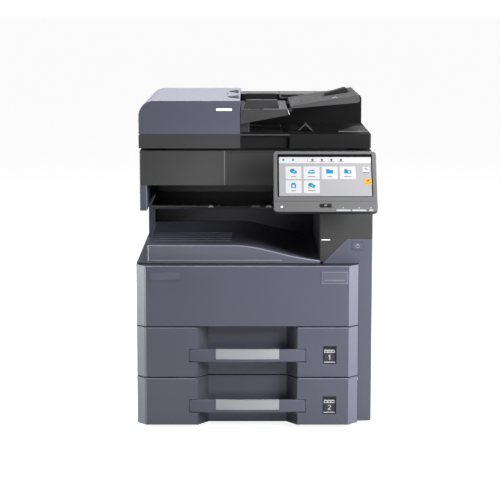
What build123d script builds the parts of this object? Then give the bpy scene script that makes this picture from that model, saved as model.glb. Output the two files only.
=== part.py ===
# Office photocopier: a cabinet with two paper drawers, an output tray inside the body,
# a flatbed scanner and a document feeder on top, and a tilting touch panel.
# Frame: X to the user's right, Y to the back, Z up. The origin is on the floor, under the middle.
# All sizes are in millimetres.
from build123d import *
from math import cos, radians, sin
import os

# ---- overall sizes -------------------------------------------------------------------------
body_width = 594.0            # cabinet, side to side
cabinet_depth = 644.0         # drawer fronts to rear cover
panel_overhang = 6.0          # touch panel stands this far past the right side
panel_forward = 40.0          # its lower edge stands this far before the drawer fronts
foot_height = 8.0

# ---- heights of the stacked parts --------------------------------------------------------------
lower_front_height = 120.5
upper_front_height = 127.0
cover_height = 153.8          # front cover
seam = 3.0                    # gap between stacked fronts
shelf_thickness = 3.5
lip_height = 42.0             # output tray's front lip above the shelf
output_gap = 145.3            # tray lip to the scanner
scanner_height = 88.3
feeder_gap = 6.0              # scanner top to the feeder
band_height = 35.5            # feeder's lower band
feeder_cover_height = 85.5

# ---- walls and clearances -----------------------------------------------------------------------
wall = 2.5
skin = 3.0                    # outer plastic covers
plate = 2.0                   # frame sheet
gap = 2.0                     # between neighbouring covers
running = 0.05                # radial clearance of a pin in its hole
slide_gap = 0.5               # clearance of parts that slide past each other

# ---- front ------------------------------------------------------------------------------------------
right_strip = 36.0            # tower's face that shows beside the fronts
front_width = body_width - right_strip
front_depth = 40.0
corner_cut = 25.0             # bevel at each end of the fronts
channel_centre = front_width / 2      # handle channel's middle, from the left side
channel_width = 252.0
channel_floor = 198.0
channel_depth = 34.0
handle_width = 292.0
handle_height = 32.0
handle_bow = 9.0
handle_thickness = 13.0
handle_rise = {1: 39.5, 2: 33.0}      # handle's lower edge above its drawer's, by drawer number
grip_width = 159.0
grip_height = 23.5
grip_sheet = 1.2
window_inset = 89.5           # size window's left edge, from the fronts' right end
window_width = 34.5
window_height = 45.6
window_depth = 5.0
window_rise = {1: 1.5, 2: 2.0}        # window's middle above the handle's, by drawer number

# ---- drawers ----------------------------------------------------------------------------------------
tray_length = 450.0           # along X, the way the paper feeds
tray_depth = 335.0
tray_height = 92.0
tray_inset = 38.0             # left side to the tray
paper_width = 297.0
rail_width = 22.0
rail_height = 6.0
rail_drop = 24.0              # rail's top below the tray's rim

# ---- right tower ------------------------------------------------------------------------------------
tower_width = 131.0
tower_setback = 42.0          # tower's face behind the drawer fronts
joint_height = 480.5          # joint of the dark and blue-grey covers
joint_corner = 67.5           # where the joint turns down, from the tower's left side
button_size = (28.0, 20.0)
button_height = 461.3
button_inset = 37.6           # from the right side
light_size = (24.0, 5.0)
light_height = 476.7

# ---- scanner, feeder and panel ----------------------------------------------------------------------
scanner_setback = 100.0
scanner_rear_inset = 12.0
glass_size = (440.0, 305.0)
glass_thickness = 3.0
feeder_cover_width = 257.0
feeder_corner = 40.0
feeder_rear_inset = 22.0
step_x = 383.0                # feeder base's step, from its left end
wedge_height = 62.0           # feed wedge top above the feeder's band
tray_slope = 9.1              # document tray, degrees
document_tray_length = 176.0
document_tray_thickness = 17.5
back_wall_height = 80.0
back_wall_depth = 123.0
panel_width = 256.6
panel_length = 168.3
panel_thickness = 14.0
panel_tilt = 33.0             # back from upright, degrees
screen_size = (236.0, 118.0)

# ---- planes and levels that follow from these -------------------------------------------------------
left = -(body_width + panel_overhang) / 2
right = left + body_width
front_most = -(cabinet_depth + panel_forward) / 2
front = front_most + panel_forward
rear = front + cabinet_depth
front_back = front + front_depth            # rear edge of the fronts
inner_front = front_back + gap              # side covers start here
fronts_right = left + front_width
drawer_2_low = foot_height + 2.0
drawer_2_top = drawer_2_low + lower_front_height
drawer_1_low = drawer_2_top + seam
drawer_1_top = drawer_1_low + upper_front_height
cover_low = drawer_1_top + seam
cover_top = cover_low + cover_height
shelf = cover_top + shelf_thickness
lip_top = shelf + lip_height
scanner_low = lip_top + output_gap
scanner_top = scanner_low + scanner_height
feeder_low = scanner_top + feeder_gap
band_top = feeder_low + band_height
feeder_top = band_top + feeder_cover_height
tower_left = right - tower_width
tower_face = front + tower_setback
scanner_face = front + scanner_setback
scanner_rear = rear - scanner_rear_inset
column_front = front + 450.0                # rear column that carries the scanner
cavity_back = front + 480.0                 # back wall of the output space
deck = drawer_1_top + 2.0                   # engine deck's underside
deck_right = right - 30.0


# ---- helpers ----------------------------------------------------------------------------------------
def block(x, y, z, mode=Mode.ADD):
    """A box between two X, two Y and two Z values."""
    centre = ((x[0] + x[1]) / 2, (y[0] + y[1]) / 2, (z[0] + z[1]) / 2)
    with Locations(centre):
        Box(x[1] - x[0], y[1] - y[0], z[1] - z[0], mode=mode)


def rod(axis, centre, radius, length, mode=Mode.ADD):
    """A cylinder along X, Y or Z around its centre."""
    turn = {"x": (0, 90, 0), "y": (90, 0, 0), "z": (0, 0, 0)}[axis]
    with Locations(Location(centre, turn)):
        Cylinder(radius, length, mode=mode)


def facing(y):
    """Drawing plane across the machine: local axes are X and Z."""
    return Plane.XZ.offset(-y)


def profile(plane, points, amount, mode=Mode.ADD):
    """Extrudes a straight-sided outline."""
    with BuildSketch(plane) as outline:
        with BuildLine():
            Polyline(*points, close=True)
        make_face()
    extrude(outline.sketch, amount=amount, mode=mode)


def save(piece, name):
    piece.part.label = name
    export_step(piece.part, f"parts/{name}.step")


os.makedirs("parts", exist_ok=True)

# ==== chassis ========================================================================================
wing_width = 18.0                           # left wall beside the output space
frame_left = left + 10.0                    # left frame plate's outer face
frame_right = left + tray_inset + tray_length + 14.0
frame_front = inner_front + 5.0
frame_rear = cavity_back + 22.0
foot_radius = 18.0
foot_inset = (45.0, 60.0)

with BuildPart() as feet:
    for foot_x in (left + foot_inset[0], right - foot_inset[0]):
        for foot_y in (inner_front + foot_inset[1], rear - foot_inset[1]):
            rod("z", (foot_x, foot_y, foot_height / 2), foot_radius, foot_height)
    chamfer(feet.edges().group_by(Axis.Z)[0], 1.5)
save(feet, "feet")

with BuildPart() as base_plate:
    block((frame_left, right - skin - gap), (frame_front, rear - skin - gap), (foot_height, foot_height + skin))
save(base_plate, "base_plate")
frame_low = foot_height + skin

with BuildPart() as left_frame:
    block((frame_left, frame_left + plate), (frame_front, frame_rear), (frame_low, shelf - 8.0))
    with Locations(Location((frame_left, frame_front + 60, deck + 60), (0, 90, 0))):
        Cylinder(20.0, 4 * plate, mode=Mode.SUBTRACT)
save(left_frame, "left_frame")

tray_rims = [low + 6.0 + tray_height for low in (drawer_2_low, drawer_1_low)]
with BuildPart() as right_frame:
    block((frame_right, frame_right + plate), (frame_front, frame_rear), (frame_low, deck))
    for rim in tray_rims:
        block((frame_right - plate, frame_right + 2 * plate), (frame_front + 15, frame_front + tray_depth - 15),
              (rim + 3, rim + 17), mode=Mode.SUBTRACT)
save(right_frame, "right_frame")

with BuildPart() as rear_frame:
    block((frame_left, right - skin - gap), (frame_rear, frame_rear + plate), (frame_low, shelf - 8.0))
    block((left + 5 + wing_width + gap, right - skin - gap), (frame_rear, frame_rear + plate),
          (shelf - 8.0, scanner_low))
    for hole_x in (left + 150, left + 300, left + 450):
        rod("y", (hole_x, frame_rear, scanner_low - 90), 22.0, 4 * plate, mode=Mode.SUBTRACT)
save(rear_frame, "rear_frame")

# The deck carries two arms on which the front cover turns.
hinge_y = front + 6.0
hinge_z = cover_low + 6.0
hinge_pin = 1.6
arm_radius = 3.0
arm_thickness = 6.0
arm_places = (left + 62.0, fronts_right - 62.0)
with BuildPart() as engine_deck:
    block((frame_left + plate, deck_right), (frame_front, frame_rear), (deck, deck + plate))
    for arm_x in arm_places:
        arm_side = (arm_x - arm_thickness / 2, arm_x + arm_thickness / 2)
        block(arm_side, (hinge_y, frame_front), (hinge_z - arm_radius, hinge_z + arm_radius))
        block(arm_side, (frame_front, frame_front + 20), (deck + plate, hinge_z + arm_radius))
        rod("x", (arm_x, hinge_y, hinge_z), arm_radius, arm_thickness)
        rod("x", (arm_x, hinge_y, hinge_z), hinge_pin + running, 2 * arm_thickness, mode=Mode.SUBTRACT)
save(engine_deck, "engine_deck")

# ==== covers of the cabinet ==========================================================================
with BuildPart() as left_cover:
    block((left, left + skin), (inner_front, rear), (drawer_2_low, shelf))
    block((left + skin, left + 22), (inner_front, column_front - gap), (shelf - skin, shelf))
    chamfer(left_cover.edges().filter_by(Axis.Y).group_by(Axis.X)[0].sort_by(Axis.Z)[-1], 1.2)
save(left_cover, "left_cover")

vent_pitch = 9.0
screw_places = [(screw_x, drawer_2_low + 30.0 + 178.0 * row) for screw_x in (left + 18.0, right - 18.0)
                for row in range(4)]
screw_recess = (5.0, 1.6)                   # radius and depth
with BuildPart() as rear_cover:
    block((left + skin + slide_gap, right - skin - slide_gap), (rear - skin, rear),
          (drawer_2_low, scanner_low - gap))
    for screw_x, screw_z in screw_places:
        rod("y", (screw_x, rear, screw_z), screw_recess[0], 2 * screw_recess[1], mode=Mode.SUBTRACT)
    with Locations(Location((left + 130, rear, shelf), (90, 0, 0))):
        with GridLocations(1.0, vent_pitch, 1, 14):
            Box(110, 4.0, 4 * skin, mode=Mode.SUBTRACT)
    inlet_x = right - 90.0
    inlet_z = drawer_2_low + 55.0
    block((inlet_x - 17, inlet_x + 17), (rear - 2 * skin, rear + skin), (inlet_z - 13, inlet_z + 13),
          mode=Mode.SUBTRACT)
save(rear_cover, "rear_cover")

door_front = tower_face + 112.0
door_rear = door_front + 296.0
door_low = drawer_2_low + 50.0
door_top = joint_height
door_pin_x = right - 6.0
door_pin_y = door_rear - 6.0
door_pin = 3.0
ear = 8.0
with BuildPart() as right_cover:
    block((right - skin, right), (door_front + gap, rear - skin - slide_gap), (drawer_2_low, scanner_low - gap))
    block((right - 2 * skin, right + skin), (door_front, door_rear + gap), (door_low - gap, door_top + gap),
          mode=Mode.SUBTRACT)
    for ear_z in (door_low - gap - ear, door_top + gap):
        block((door_pin_x - 5, right - skin), (door_pin_y - 5, door_rear + gap + 4), (ear_z, ear_z + ear))
    rod("z", (door_pin_x, door_pin_y, (door_low + door_top) / 2), door_pin + running, door_top - door_low + 60,
        mode=Mode.SUBTRACT)
save(right_cover, "right_cover")

# Dark upper cover of the tower and the blue-grey cover below it meet along a bent joint.
joint_gap = 0.8
joint_x = tower_left + joint_corner
with BuildPart() as tower_cover:
    profile(facing(tower_face), [(tower_left, shelf + joint_gap), (tower_left, scanner_low - gap),
                                 (right, scanner_low - gap), (right, joint_height),
                                 (joint_x, joint_height), (joint_x - (joint_height - shelf - joint_gap),
                                                           shelf + joint_gap)], -skin)
    block((tower_left, tower_left + skin), (tower_face + skin, cavity_back),
          (shelf + joint_gap, scanner_low - gap))
    block((right - skin, right), (tower_face + skin, door_front - gap), (joint_height, scanner_low - gap))
    fillet(tower_cover.edges().filter_by(Axis.Z).group_by(Axis.Y)[0].sort_by(Axis.X)[-1], 2.5)
    light_x = tower_left + 13.0
    block((light_x - light_size[0] / 2, light_x + light_size[0] / 2), (tower_face - 1, tower_face + 1.2),
          (light_height - light_size[1] / 2, light_height + light_size[1] / 2), mode=Mode.SUBTRACT)
save(tower_cover, "tower_cover")

button_x = right - button_inset
with BuildPart() as tower_lower_cover:
    profile(facing(tower_face), [(fronts_right + gap, drawer_2_low), (right, drawer_2_low),
                                 (right, joint_height - joint_gap), (joint_x, joint_height - joint_gap),
                                 (joint_x - (joint_height - joint_gap - cover_top), cover_top),
                                 (fronts_right + gap, cover_top)], -skin)
    block((right - skin, right), (tower_face + skin, door_front - gap),
          (drawer_2_low, joint_height - joint_gap))
    fillet(tower_lower_cover.edges().filter_by(Axis.Z).group_by(Axis.Y)[0].sort_by(Axis.X)[-1], 2.5)
    with BuildSketch(facing(tower_face)):
        with Locations((button_x, button_height)):
            RectangleRounded(button_size[0] + 2 * slide_gap, button_size[1] + 2 * slide_gap, 4.0)
    extrude(amount=-2 * skin, mode=Mode.SUBTRACT)
save(tower_lower_cover, "tower_lower_cover")

button_travel = 1.5
with BuildPart() as power_button:
    with BuildSketch(facing(tower_face - 0.6)):
        with Locations((button_x, button_height)):
            RectangleRounded(*button_size, 3.5)
    extrude(amount=-(skin + 2.0))
    fillet(power_button.faces().sort_by(Axis.Y)[0].edges(), 0.6)
    with BuildSketch(facing(tower_face + skin + slide_gap)):
        with Locations((button_x, button_height)):
            Rectangle(button_size[0] + 6, button_size[1] + 6)
    extrude(amount=-1.5)
    rod("y", (button_x, tower_face + skin + 9.0, button_height), 3.0, 14.0)
save(power_button, "power_button")

# ==== output space ===================================================================================
tray_left = left + 26.0
tray_flat = 212.0             # level part of the tray, from its left edge
tray_dip = lip_top - 39.0     # the surface's low end
tray_end = tower_left - slide_gap


def tray_section(inset, y):
    """Section of the output tray: level on the left, then an S-curve down to the tower."""
    level = lip_top - inset
    flat_end = tray_left + tray_flat
    end = tray_end - inset
    with BuildSketch(facing(y)) as section:
        with BuildLine():
            edge = Polyline((tray_left + inset, shelf - inset), (tray_left + inset, level), (flat_end, level))
            slope = Spline(edge @ 1, (flat_end + 137, tray_dip + 15 - inset), (end, tray_dip - inset),
                           tangents=[(1, 0), (1, -0.1)])
            Polyline(slope @ 1, (end, shelf - inset), edge @ 0)
        make_face()
    return section.sketch


tray_back = cavity_back - slide_gap
with BuildPart() as output_tray:
    extrude(tray_section(0.0, tower_face), amount=tower_face - tray_back)
    fillet(output_tray.edges().filter_by(Axis.Z).group_by(Axis.Y)[0].sort_by(Axis.X)[0], 9.0)
    fillet(output_tray.faces().sort_by(Axis.Y)[0].edges().group_by(Axis.Z)[-1], 2.0)
    extrude(tray_section(skin, tower_face + skin), amount=tower_face + 2 * skin - tray_back, mode=Mode.SUBTRACT)
    block((left + 22 + slide_gap, tray_end), (inner_front, tray_back), (shelf - skin, shelf))
    block((tray_left + 12, tray_end - 12), (tower_face + 12, tray_back - 12), (shelf - 2 * skin, shelf + 0.01),
          mode=Mode.SUBTRACT)
    for rib in range(5):
        rib_y = tower_face + 78.0 + 32.0 * rib
        block((tray_left + 14, tray_left + tray_flat), (rib_y - 1.5, rib_y + 1.5), (lip_top - 1, lip_top + 1.2))
save(output_tray, "output_tray")

slot_width = 16.0
with BuildPart() as cavity_wall:
    block((left + skin + 20, tower_left - slide_gap), (cavity_back, cavity_back + skin),
          (lip_top - 44, scanner_low - gap))
    with Locations((left + 72, cavity_back, lip_top + 8)):
        with GridLocations(21.0, 1.0, 4, 1):
            Box(slot_width, 4 * skin, 8.0, mode=Mode.SUBTRACT)
    with Locations(Location((tower_left - 46, cavity_back, lip_top - 18), (90, 0, 0))):
        with GridLocations(1.0, 6.0, 1, 5):
            Box(40, 3.0, 4 * skin, mode=Mode.SUBTRACT)
save(cavity_wall, "cavity_wall")

inner_tray_top = lip_top + 81.0
inner_tray_front = front + 177.0
with BuildPart() as inner_tray:
    profile(Plane.YZ.offset(left + skin + 25), [(inner_front + 139, inner_tray_top - 8),
                                                (inner_tray_front - 1, inner_tray_top),
                                                (cavity_back - slide_gap, inner_tray_top),
                                                (cavity_back - slide_gap, inner_tray_top - 8)],
            tower_left - left - skin - 26)
    for rib in range(6):
        rib_x = left + 80.0 + 62.0 * rib
        block((rib_x - 1.5, rib_x + 1.5), (inner_tray_front + 10, cavity_back - 20),
              (inner_tray_top - 1, inner_tray_top + 1.5))
save(inner_tray, "inner_tray")

with BuildPart() as left_upper_cover:
    profile(Plane.YZ.offset(left + 5), [(scanner_face, lip_top + 80), (scanner_face, scanner_low - slide_gap),
                                        (rear - skin - slide_gap, scanner_low - slide_gap),
                                        (rear - skin - slide_gap, shelf + joint_gap),
                                        (column_front, shelf + joint_gap), (column_front, lip_top + 80)],
                                        wing_width)
    fillet(left_upper_cover.edges().filter_by(Axis.Z).group_by(Axis.Y)[0], 3.0)
    block((left + 5 + skin, left + 5 + wing_width + 1), (column_front + 24, rear - 20),
          (shelf + 10, scanner_low - 20),
          mode=Mode.SUBTRACT)
save(left_upper_cover, "left_upper_cover")

# ==== front cover ====================================================================================


def front_outline():
    """Top view of a drawer front or the front cover, with a bevel at each end."""
    return [(left, front_back), (left, front + corner_cut), (left + corner_cut, front),
            (fronts_right - corner_cut, front), (fronts_right, front + corner_cut), (fronts_right, front_back)]


pocket_low = cover_low + 62.0
pocket_high = pocket_low + 59.0
with BuildPart() as front_cover:
    profile(Plane.XY.offset(cover_low), front_outline(), cover_height)
    fillet(front_cover.faces().sort_by(Axis.Z)[-1].edges().group_by(Axis.Y)[0], 2.0)
    fillet(front_cover.faces().sort_by(Axis.Z)[0].edges().group_by(Axis.Y)[0], 2.0)
    offset(amount=-wall, openings=front_cover.faces().sort_by(Axis.Y)[-1])
    for side, inward in ((left, 1), (fronts_right, -1)):
        backing = sorted((side, side + inward * 8.0))
        block(backing, (front + corner_cut + 1, front_back), (pocket_low - wall, pocket_high + wall))
        cut = sorted((side - inward, side + inward * 4.5))
        block(cut, (front + corner_cut + 3, front_back + 1), (pocket_low, pocket_high), mode=Mode.SUBTRACT)
    for arm_x in arm_places:
        slot = (arm_x - arm_thickness / 2 - 1, arm_x + arm_thickness / 2 + 1)
        block(slot, (hinge_y - arm_radius - 1, front_back + 1), (cover_low - 1, cover_low + wall + 0.2),
              mode=Mode.SUBTRACT)
        for side in (-1, 1):
            ear_x = arm_x + side * (arm_thickness / 2 + 1 + 2.0)
            block((ear_x - 2, ear_x + 2), (front + wall, hinge_y + 3), (cover_low + wall, hinge_z + 3))
        rod("x", (arm_x, hinge_y, hinge_z), hinge_pin, arm_thickness + 6)
save(front_cover, "front_cover")

badge_size = (76.0, 18.0)
badge_thickness = 0.8
plate_size = (66.0, 31.0)
with BuildPart() as cover_plates:
    with BuildSketch(facing(front - badge_thickness)):
        with Locations((left + 72.0, cover_top - 25.0)):
            RectangleRounded(*badge_size, 3.0)
        with Locations((fronts_right - 61.0, cover_top - 30.0)):
            RectangleRounded(*plate_size, 2.0)
    extrude(amount=-badge_thickness)
save(cover_plates, "cover_plates")

# ==== paper drawers ==================================================================================
channel_x = left + channel_centre
bar_back = front + 1.0
box_left = left + tray_inset
box_right = box_left + tray_length
box_front = front_back
box_rear = box_front + tray_depth
box_middle = (box_front + box_rear) / 2
lift_left = box_left + 100.0
guide_reach = 60.0            # half a paper guide's length along X
guide_travel = 70.0
sheet_gap = 2.0


def bow(y_end, depth, reach):
    """Bowed front line of the handle, from one end to the other."""
    return ThreePointArc((channel_x - reach, y_end), (channel_x, y_end - depth), (channel_x + reach, y_end))


def handle_band(low, y_front, y_back, reach):
    """Top view of a bowed bar between two depths."""
    depth = handle_bow * (reach / (handle_width / 2)) ** 2
    with BuildSketch(Plane.XY.offset(low)) as band:
        with BuildLine():
            outer = bow(y_front, depth, reach)
            inner = bow(y_back, depth, reach)
            Line(outer @ 0, inner @ 0)
            Line(outer @ 1, inner @ 1)
        make_face()
    return band.sketch


def grip_section(low, mode):
    """The silver insert: a bowed sheet on the bar's face, turned over its upper edge."""
    reach = grip_width / 2
    sagitta = handle_bow * (1 - (reach / (handle_width / 2)) ** 2)
    face_y = front - sagitta
    handle_top = low + handle_height
    proud = grip_sheet / 2
    face_band = handle_band(handle_top - grip_height, face_y - proud, face_y + grip_sheet, reach)
    extrude(face_band, amount=grip_height + proud, mode=mode)
    top_band = handle_band(handle_top - grip_sheet, face_y, face_y + handle_thickness * 0.7, reach)
    extrude(top_band, amount=grip_sheet + proud, mode=mode)


for number, low, top in ((1, drawer_1_low, drawer_1_top), (2, drawer_2_low, drawer_2_top)):
    name = f"drawer_{number}"
    handle_low = low + handle_rise[number]
    with BuildPart() as drawer_front:
        profile(Plane.XY.offset(low), front_outline(), top - low)
        fillet(drawer_front.faces().sort_by(Axis.Z)[-1].edges().group_by(Axis.Y)[0], 2.0)
        fillet(drawer_front.faces().sort_by(Axis.Z)[0].edges().group_by(Axis.Y)[0], 2.0)
        offset(amount=-wall, openings=drawer_front.faces().sort_by(Axis.Y)[-1])
        half, floor = channel_width / 2, channel_floor / 2
        channel = [(channel_x - half, front), (channel_x - floor, front + channel_depth),
                   (channel_x + floor, front + channel_depth), (channel_x + half, front)]
        grown = [(channel_x - half - wall, front), (channel_x - floor - wall, front_back),
                 (channel_x + floor + wall, front_back), (channel_x + half + wall, front)]
        profile(Plane.XY.offset(low), grown, top - low)
        profile(Plane.XY.offset(low - 1), channel, top - low + 2, mode=Mode.SUBTRACT)
        for side in (-1, 1):
            socket = sorted((channel_x + side * (half - 4), channel_x + side * (handle_width / 2 + wall + 1)))
            block(socket, (front, bar_back + handle_thickness + wall),
                  (handle_low - wall - 1, handle_low + handle_height + wall + 1))
            pocket = sorted((channel_x + side * floor, channel_x + side * (handle_width / 2 + 1)))
            block(pocket, (front - 1, bar_back + handle_thickness),
                  (handle_low - 1, handle_low + handle_height + 1),
                  mode=Mode.SUBTRACT)
        window_x = (fronts_right - window_inset, fronts_right - window_inset + window_width)
        window_middle = handle_low + handle_height / 2 + window_rise[number]
        window_z = (window_middle - window_height / 2, window_middle + window_height / 2)
        block((window_x[0] - wall, window_x[1] + wall), (front + wall - 0.5, front + window_depth + wall),
              (window_z[0] - wall, window_z[1] + wall))
        block(window_x, (front - 1, front + window_depth), window_z, mode=Mode.SUBTRACT)
    save(drawer_front, f"{name}_front")

    with BuildPart() as handle:
        bar = handle_band(handle_low, front, bar_back + handle_thickness - 0.5, handle_width / 2)
        extrude(bar, amount=handle_height)
        fillet(handle.edges().filter_by(GeomType.CIRCLE), 3.0)
        grip_section(handle_low, Mode.SUBTRACT)
    save(handle, f"{name}_handle")

    with BuildPart() as grip:
        grip_section(handle_low, Mode.ADD)
    save(grip, f"{name}_grip")

    tray_low = low + 6.0
    tray_rim = tray_low + tray_height
    with BuildPart() as tray:
        block((box_left, box_right), (box_front, box_rear), (tray_low, tray_rim))
        offset(amount=-wall, openings=tray.faces().sort_by(Axis.Z)[-1])
        flange = (tray_rim - rail_drop, tray_rim - rail_drop + 3)
        block((box_left - 12, box_left + wall), (box_front + 12, box_rear), flange)
        block((box_right - wall, box_right + 8), (box_front + 12, box_rear), flange)
    save(tray, f"{name}_tray")

    floor_level = tray_low + wall
    half_width = paper_width / 2
    lift_y = (box_middle - half_width + sheet_gap, box_middle + half_width - sheet_gap)
    lift_z = floor_level + 5.0
    with BuildPart() as lift_plate:
        block((lift_left, box_right - wall - 6), lift_y, (lift_z, lift_z + plate))
        rod("y", (lift_left, box_middle, lift_z + plate / 2), 2.5, lift_y[1] - lift_y[0])
        slot_x = (box_left + 190 - guide_reach - 6, box_left + 190 + guide_reach + 6)
        for edge, inward in ((lift_y[0], 1), (lift_y[1], -1)):
            cut = sorted((edge - inward, edge + inward * (guide_travel + 8)))
            block(slot_x, cut, (lift_z - 5, lift_z + 8), mode=Mode.SUBTRACT)
    save(lift_plate, f"{name}_lift_plate")

    for guide_name, sign in (("front", -1), ("rear", 1)):
        guide_y = box_middle + sign * (half_width + 1)
        with BuildPart() as guide:
            upright = sorted((guide_y, guide_y + sign * 3))
            block((slot_x[0] + 6, slot_x[1] - 6), upright, (floor_level + slide_gap, tray_rim - 12))
            foot = sorted((guide_y - sign * 30, guide_y + sign * 3))
            block((slot_x[0] + 26, slot_x[1] - 26), foot,
                  (floor_level + slide_gap, floor_level + slide_gap + 3))
            edges = guide.edges().filter_by(Axis.Y).group_by(Axis.Z)[-1]
            fillet(edges, 8.0)
        save(guide, f"{name}_{guide_name}_guide")

with BuildPart() as drawer_rails:
    for rim in tray_rims:
        rail_z = (rim - rail_drop - slide_gap - rail_height, rim - rail_drop - slide_gap)
        block((frame_left + plate, box_left - slide_gap), (frame_front, box_rear - 10), rail_z)
        block((box_right + slide_gap, frame_right), (frame_front, box_rear - 10), rail_z)
save(drawer_rails, "drawer_rails")

# ==== scanner ========================================================================================
scanner_left = left + 5.0
top_skin = 5.0
ledge = 5.0                   # width of the rim that the glass rests on
glass_left = scanner_left + 75.0
glass_front = scanner_face + 28.0
glass_middle = glass_front + glass_size[1] / 2
slit_left = scanner_left + 32.0
slit_width = 22.0
step_edge = left + 221.0      # bright step on the scanner's front
step_width = 6.0
glass_spans = ((glass_left, glass_left + glass_size[0]), (slit_left, slit_left + slit_width))
carriage_top = scanner_top - top_skin - 1.5
carriage_height = 16.0
carriage_width = 28.0
hinge_radius = 6.0
feeder_rear = rear - feeder_rear_inset
feeder_hinge_y = feeder_rear
feeder_hinge_z = scanner_top + feeder_gap / 2
feeder_hinges = (left + 120.0, right - 120.0)
knuckle = 16.0
with BuildPart() as scanner_housing:
    block((scanner_left, right), (scanner_face, scanner_rear), (scanner_low, scanner_top))
    fillet(scanner_housing.edges().filter_by(Axis.Z), 4.0)
    fillet(scanner_housing.faces().sort_by(Axis.Z)[-1].edges(), 1.5)
    block((scanner_left + skin, right - skin), (scanner_face + 2 * skin, scanner_rear - skin),
          (scanner_low + skin, scanner_top - top_skin), mode=Mode.SUBTRACT)
    block((step_edge + step_width, right + 1), (scanner_face - 1, scanner_face + skin),
          (scanner_low - 1, scanner_top - 3), mode=Mode.SUBTRACT)
    for span in glass_spans:
        depth = (glass_front, glass_front + glass_size[1])
        block((span[0] - slide_gap, span[1] + slide_gap), (depth[0] - slide_gap, depth[1] + slide_gap),
              (scanner_top - glass_thickness, scanner_top + 1), mode=Mode.SUBTRACT)
        block((span[0] + ledge, span[1] - ledge), (depth[0] + ledge, depth[1] - ledge),
              (scanner_top - 2 * top_skin, scanner_top), mode=Mode.SUBTRACT)
    for rail_y in (glass_front - 4.0, glass_front + glass_size[1] + 4.0):
        block((scanner_left + skin, right - skin), (rail_y - 4, rail_y + 4),
              (scanner_low + skin, carriage_top - carriage_height - slide_gap))
    for hinge_x in feeder_hinges:
        block((hinge_x - knuckle / 2 - 8, hinge_x + knuckle / 2 + 8), (feeder_hinge_y - 8, feeder_hinge_y + 8),
              (scanner_top - top_skin + 1, scanner_top + 1), mode=Mode.SUBTRACT)
        rod("x", (hinge_x, feeder_hinge_y, feeder_hinge_z), hinge_radius, knuckle)
        block((hinge_x - knuckle / 2, hinge_x + knuckle / 2),
              (feeder_hinge_y - hinge_radius, feeder_hinge_y + hinge_radius),
              (scanner_top - top_skin, feeder_hinge_z))
        rod("x", (hinge_x, feeder_hinge_y, feeder_hinge_z), 3.0 + running, 2 * knuckle, mode=Mode.SUBTRACT)
save(scanner_housing, "scanner_housing")

with BuildPart() as platen_glass:
    for span in glass_spans:
        block(span, (glass_front, glass_front + glass_size[1]), (scanner_top - glass_thickness, scanner_top))
save(platen_glass, "platen_glass")

lamp_left = glass_left + 6.0
lamp_travel = glass_size[0] - carriage_width - 12.0
with BuildPart() as lamp_carriage:
    block((lamp_left, lamp_left + carriage_width), (glass_front - 7, glass_front + glass_size[1] + 7),
          (carriage_top - carriage_height, carriage_top))
    block((lamp_left + 11, lamp_left + 17), (glass_front + 5, glass_front + glass_size[1] - 5),
          (carriage_top - carriage_height - 1, carriage_top + 1), mode=Mode.SUBTRACT)
    chamfer(lamp_carriage.edges().filter_by(Axis.Y).group_by(Axis.Z)[-1], 2.0)
save(lamp_carriage, "lamp_carriage")

with BuildPart() as mirror_carriage:
    mirror_left = lamp_left - 32.0
    profile(facing(glass_front + 8), [(mirror_left, scanner_low + skin + 4),
                                      (mirror_left + 24, scanner_low + skin + 4),
                                      (mirror_left + 8, (scanner_low + carriage_top) / 2),
                                      (mirror_left + 24, carriage_top - 3), (mirror_left, carriage_top - 3)],
            -(glass_size[1] - 16))
save(mirror_carriage, "mirror_carriage")

with BuildPart() as lens_unit:
    lens_x = right - 95.0
    block((lens_x - 10, lens_x + 60), (glass_middle - 45, glass_middle + 45),
          (scanner_low + skin, scanner_low + skin + 4))
    block((lens_x + 20, lens_x + 56), (glass_middle - 32, glass_middle + 32),
          (scanner_low + skin + 4, scanner_low + skin + 28))
    rod("x", (lens_x + 8, glass_middle, scanner_low + skin + 17), 12.0, 28.0)
    block((lens_x - 6, lens_x + 20), (glass_middle - 10, glass_middle + 10),
          (scanner_low + skin + 4, scanner_low + skin + 8))
save(lens_unit, "lens_unit")

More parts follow.
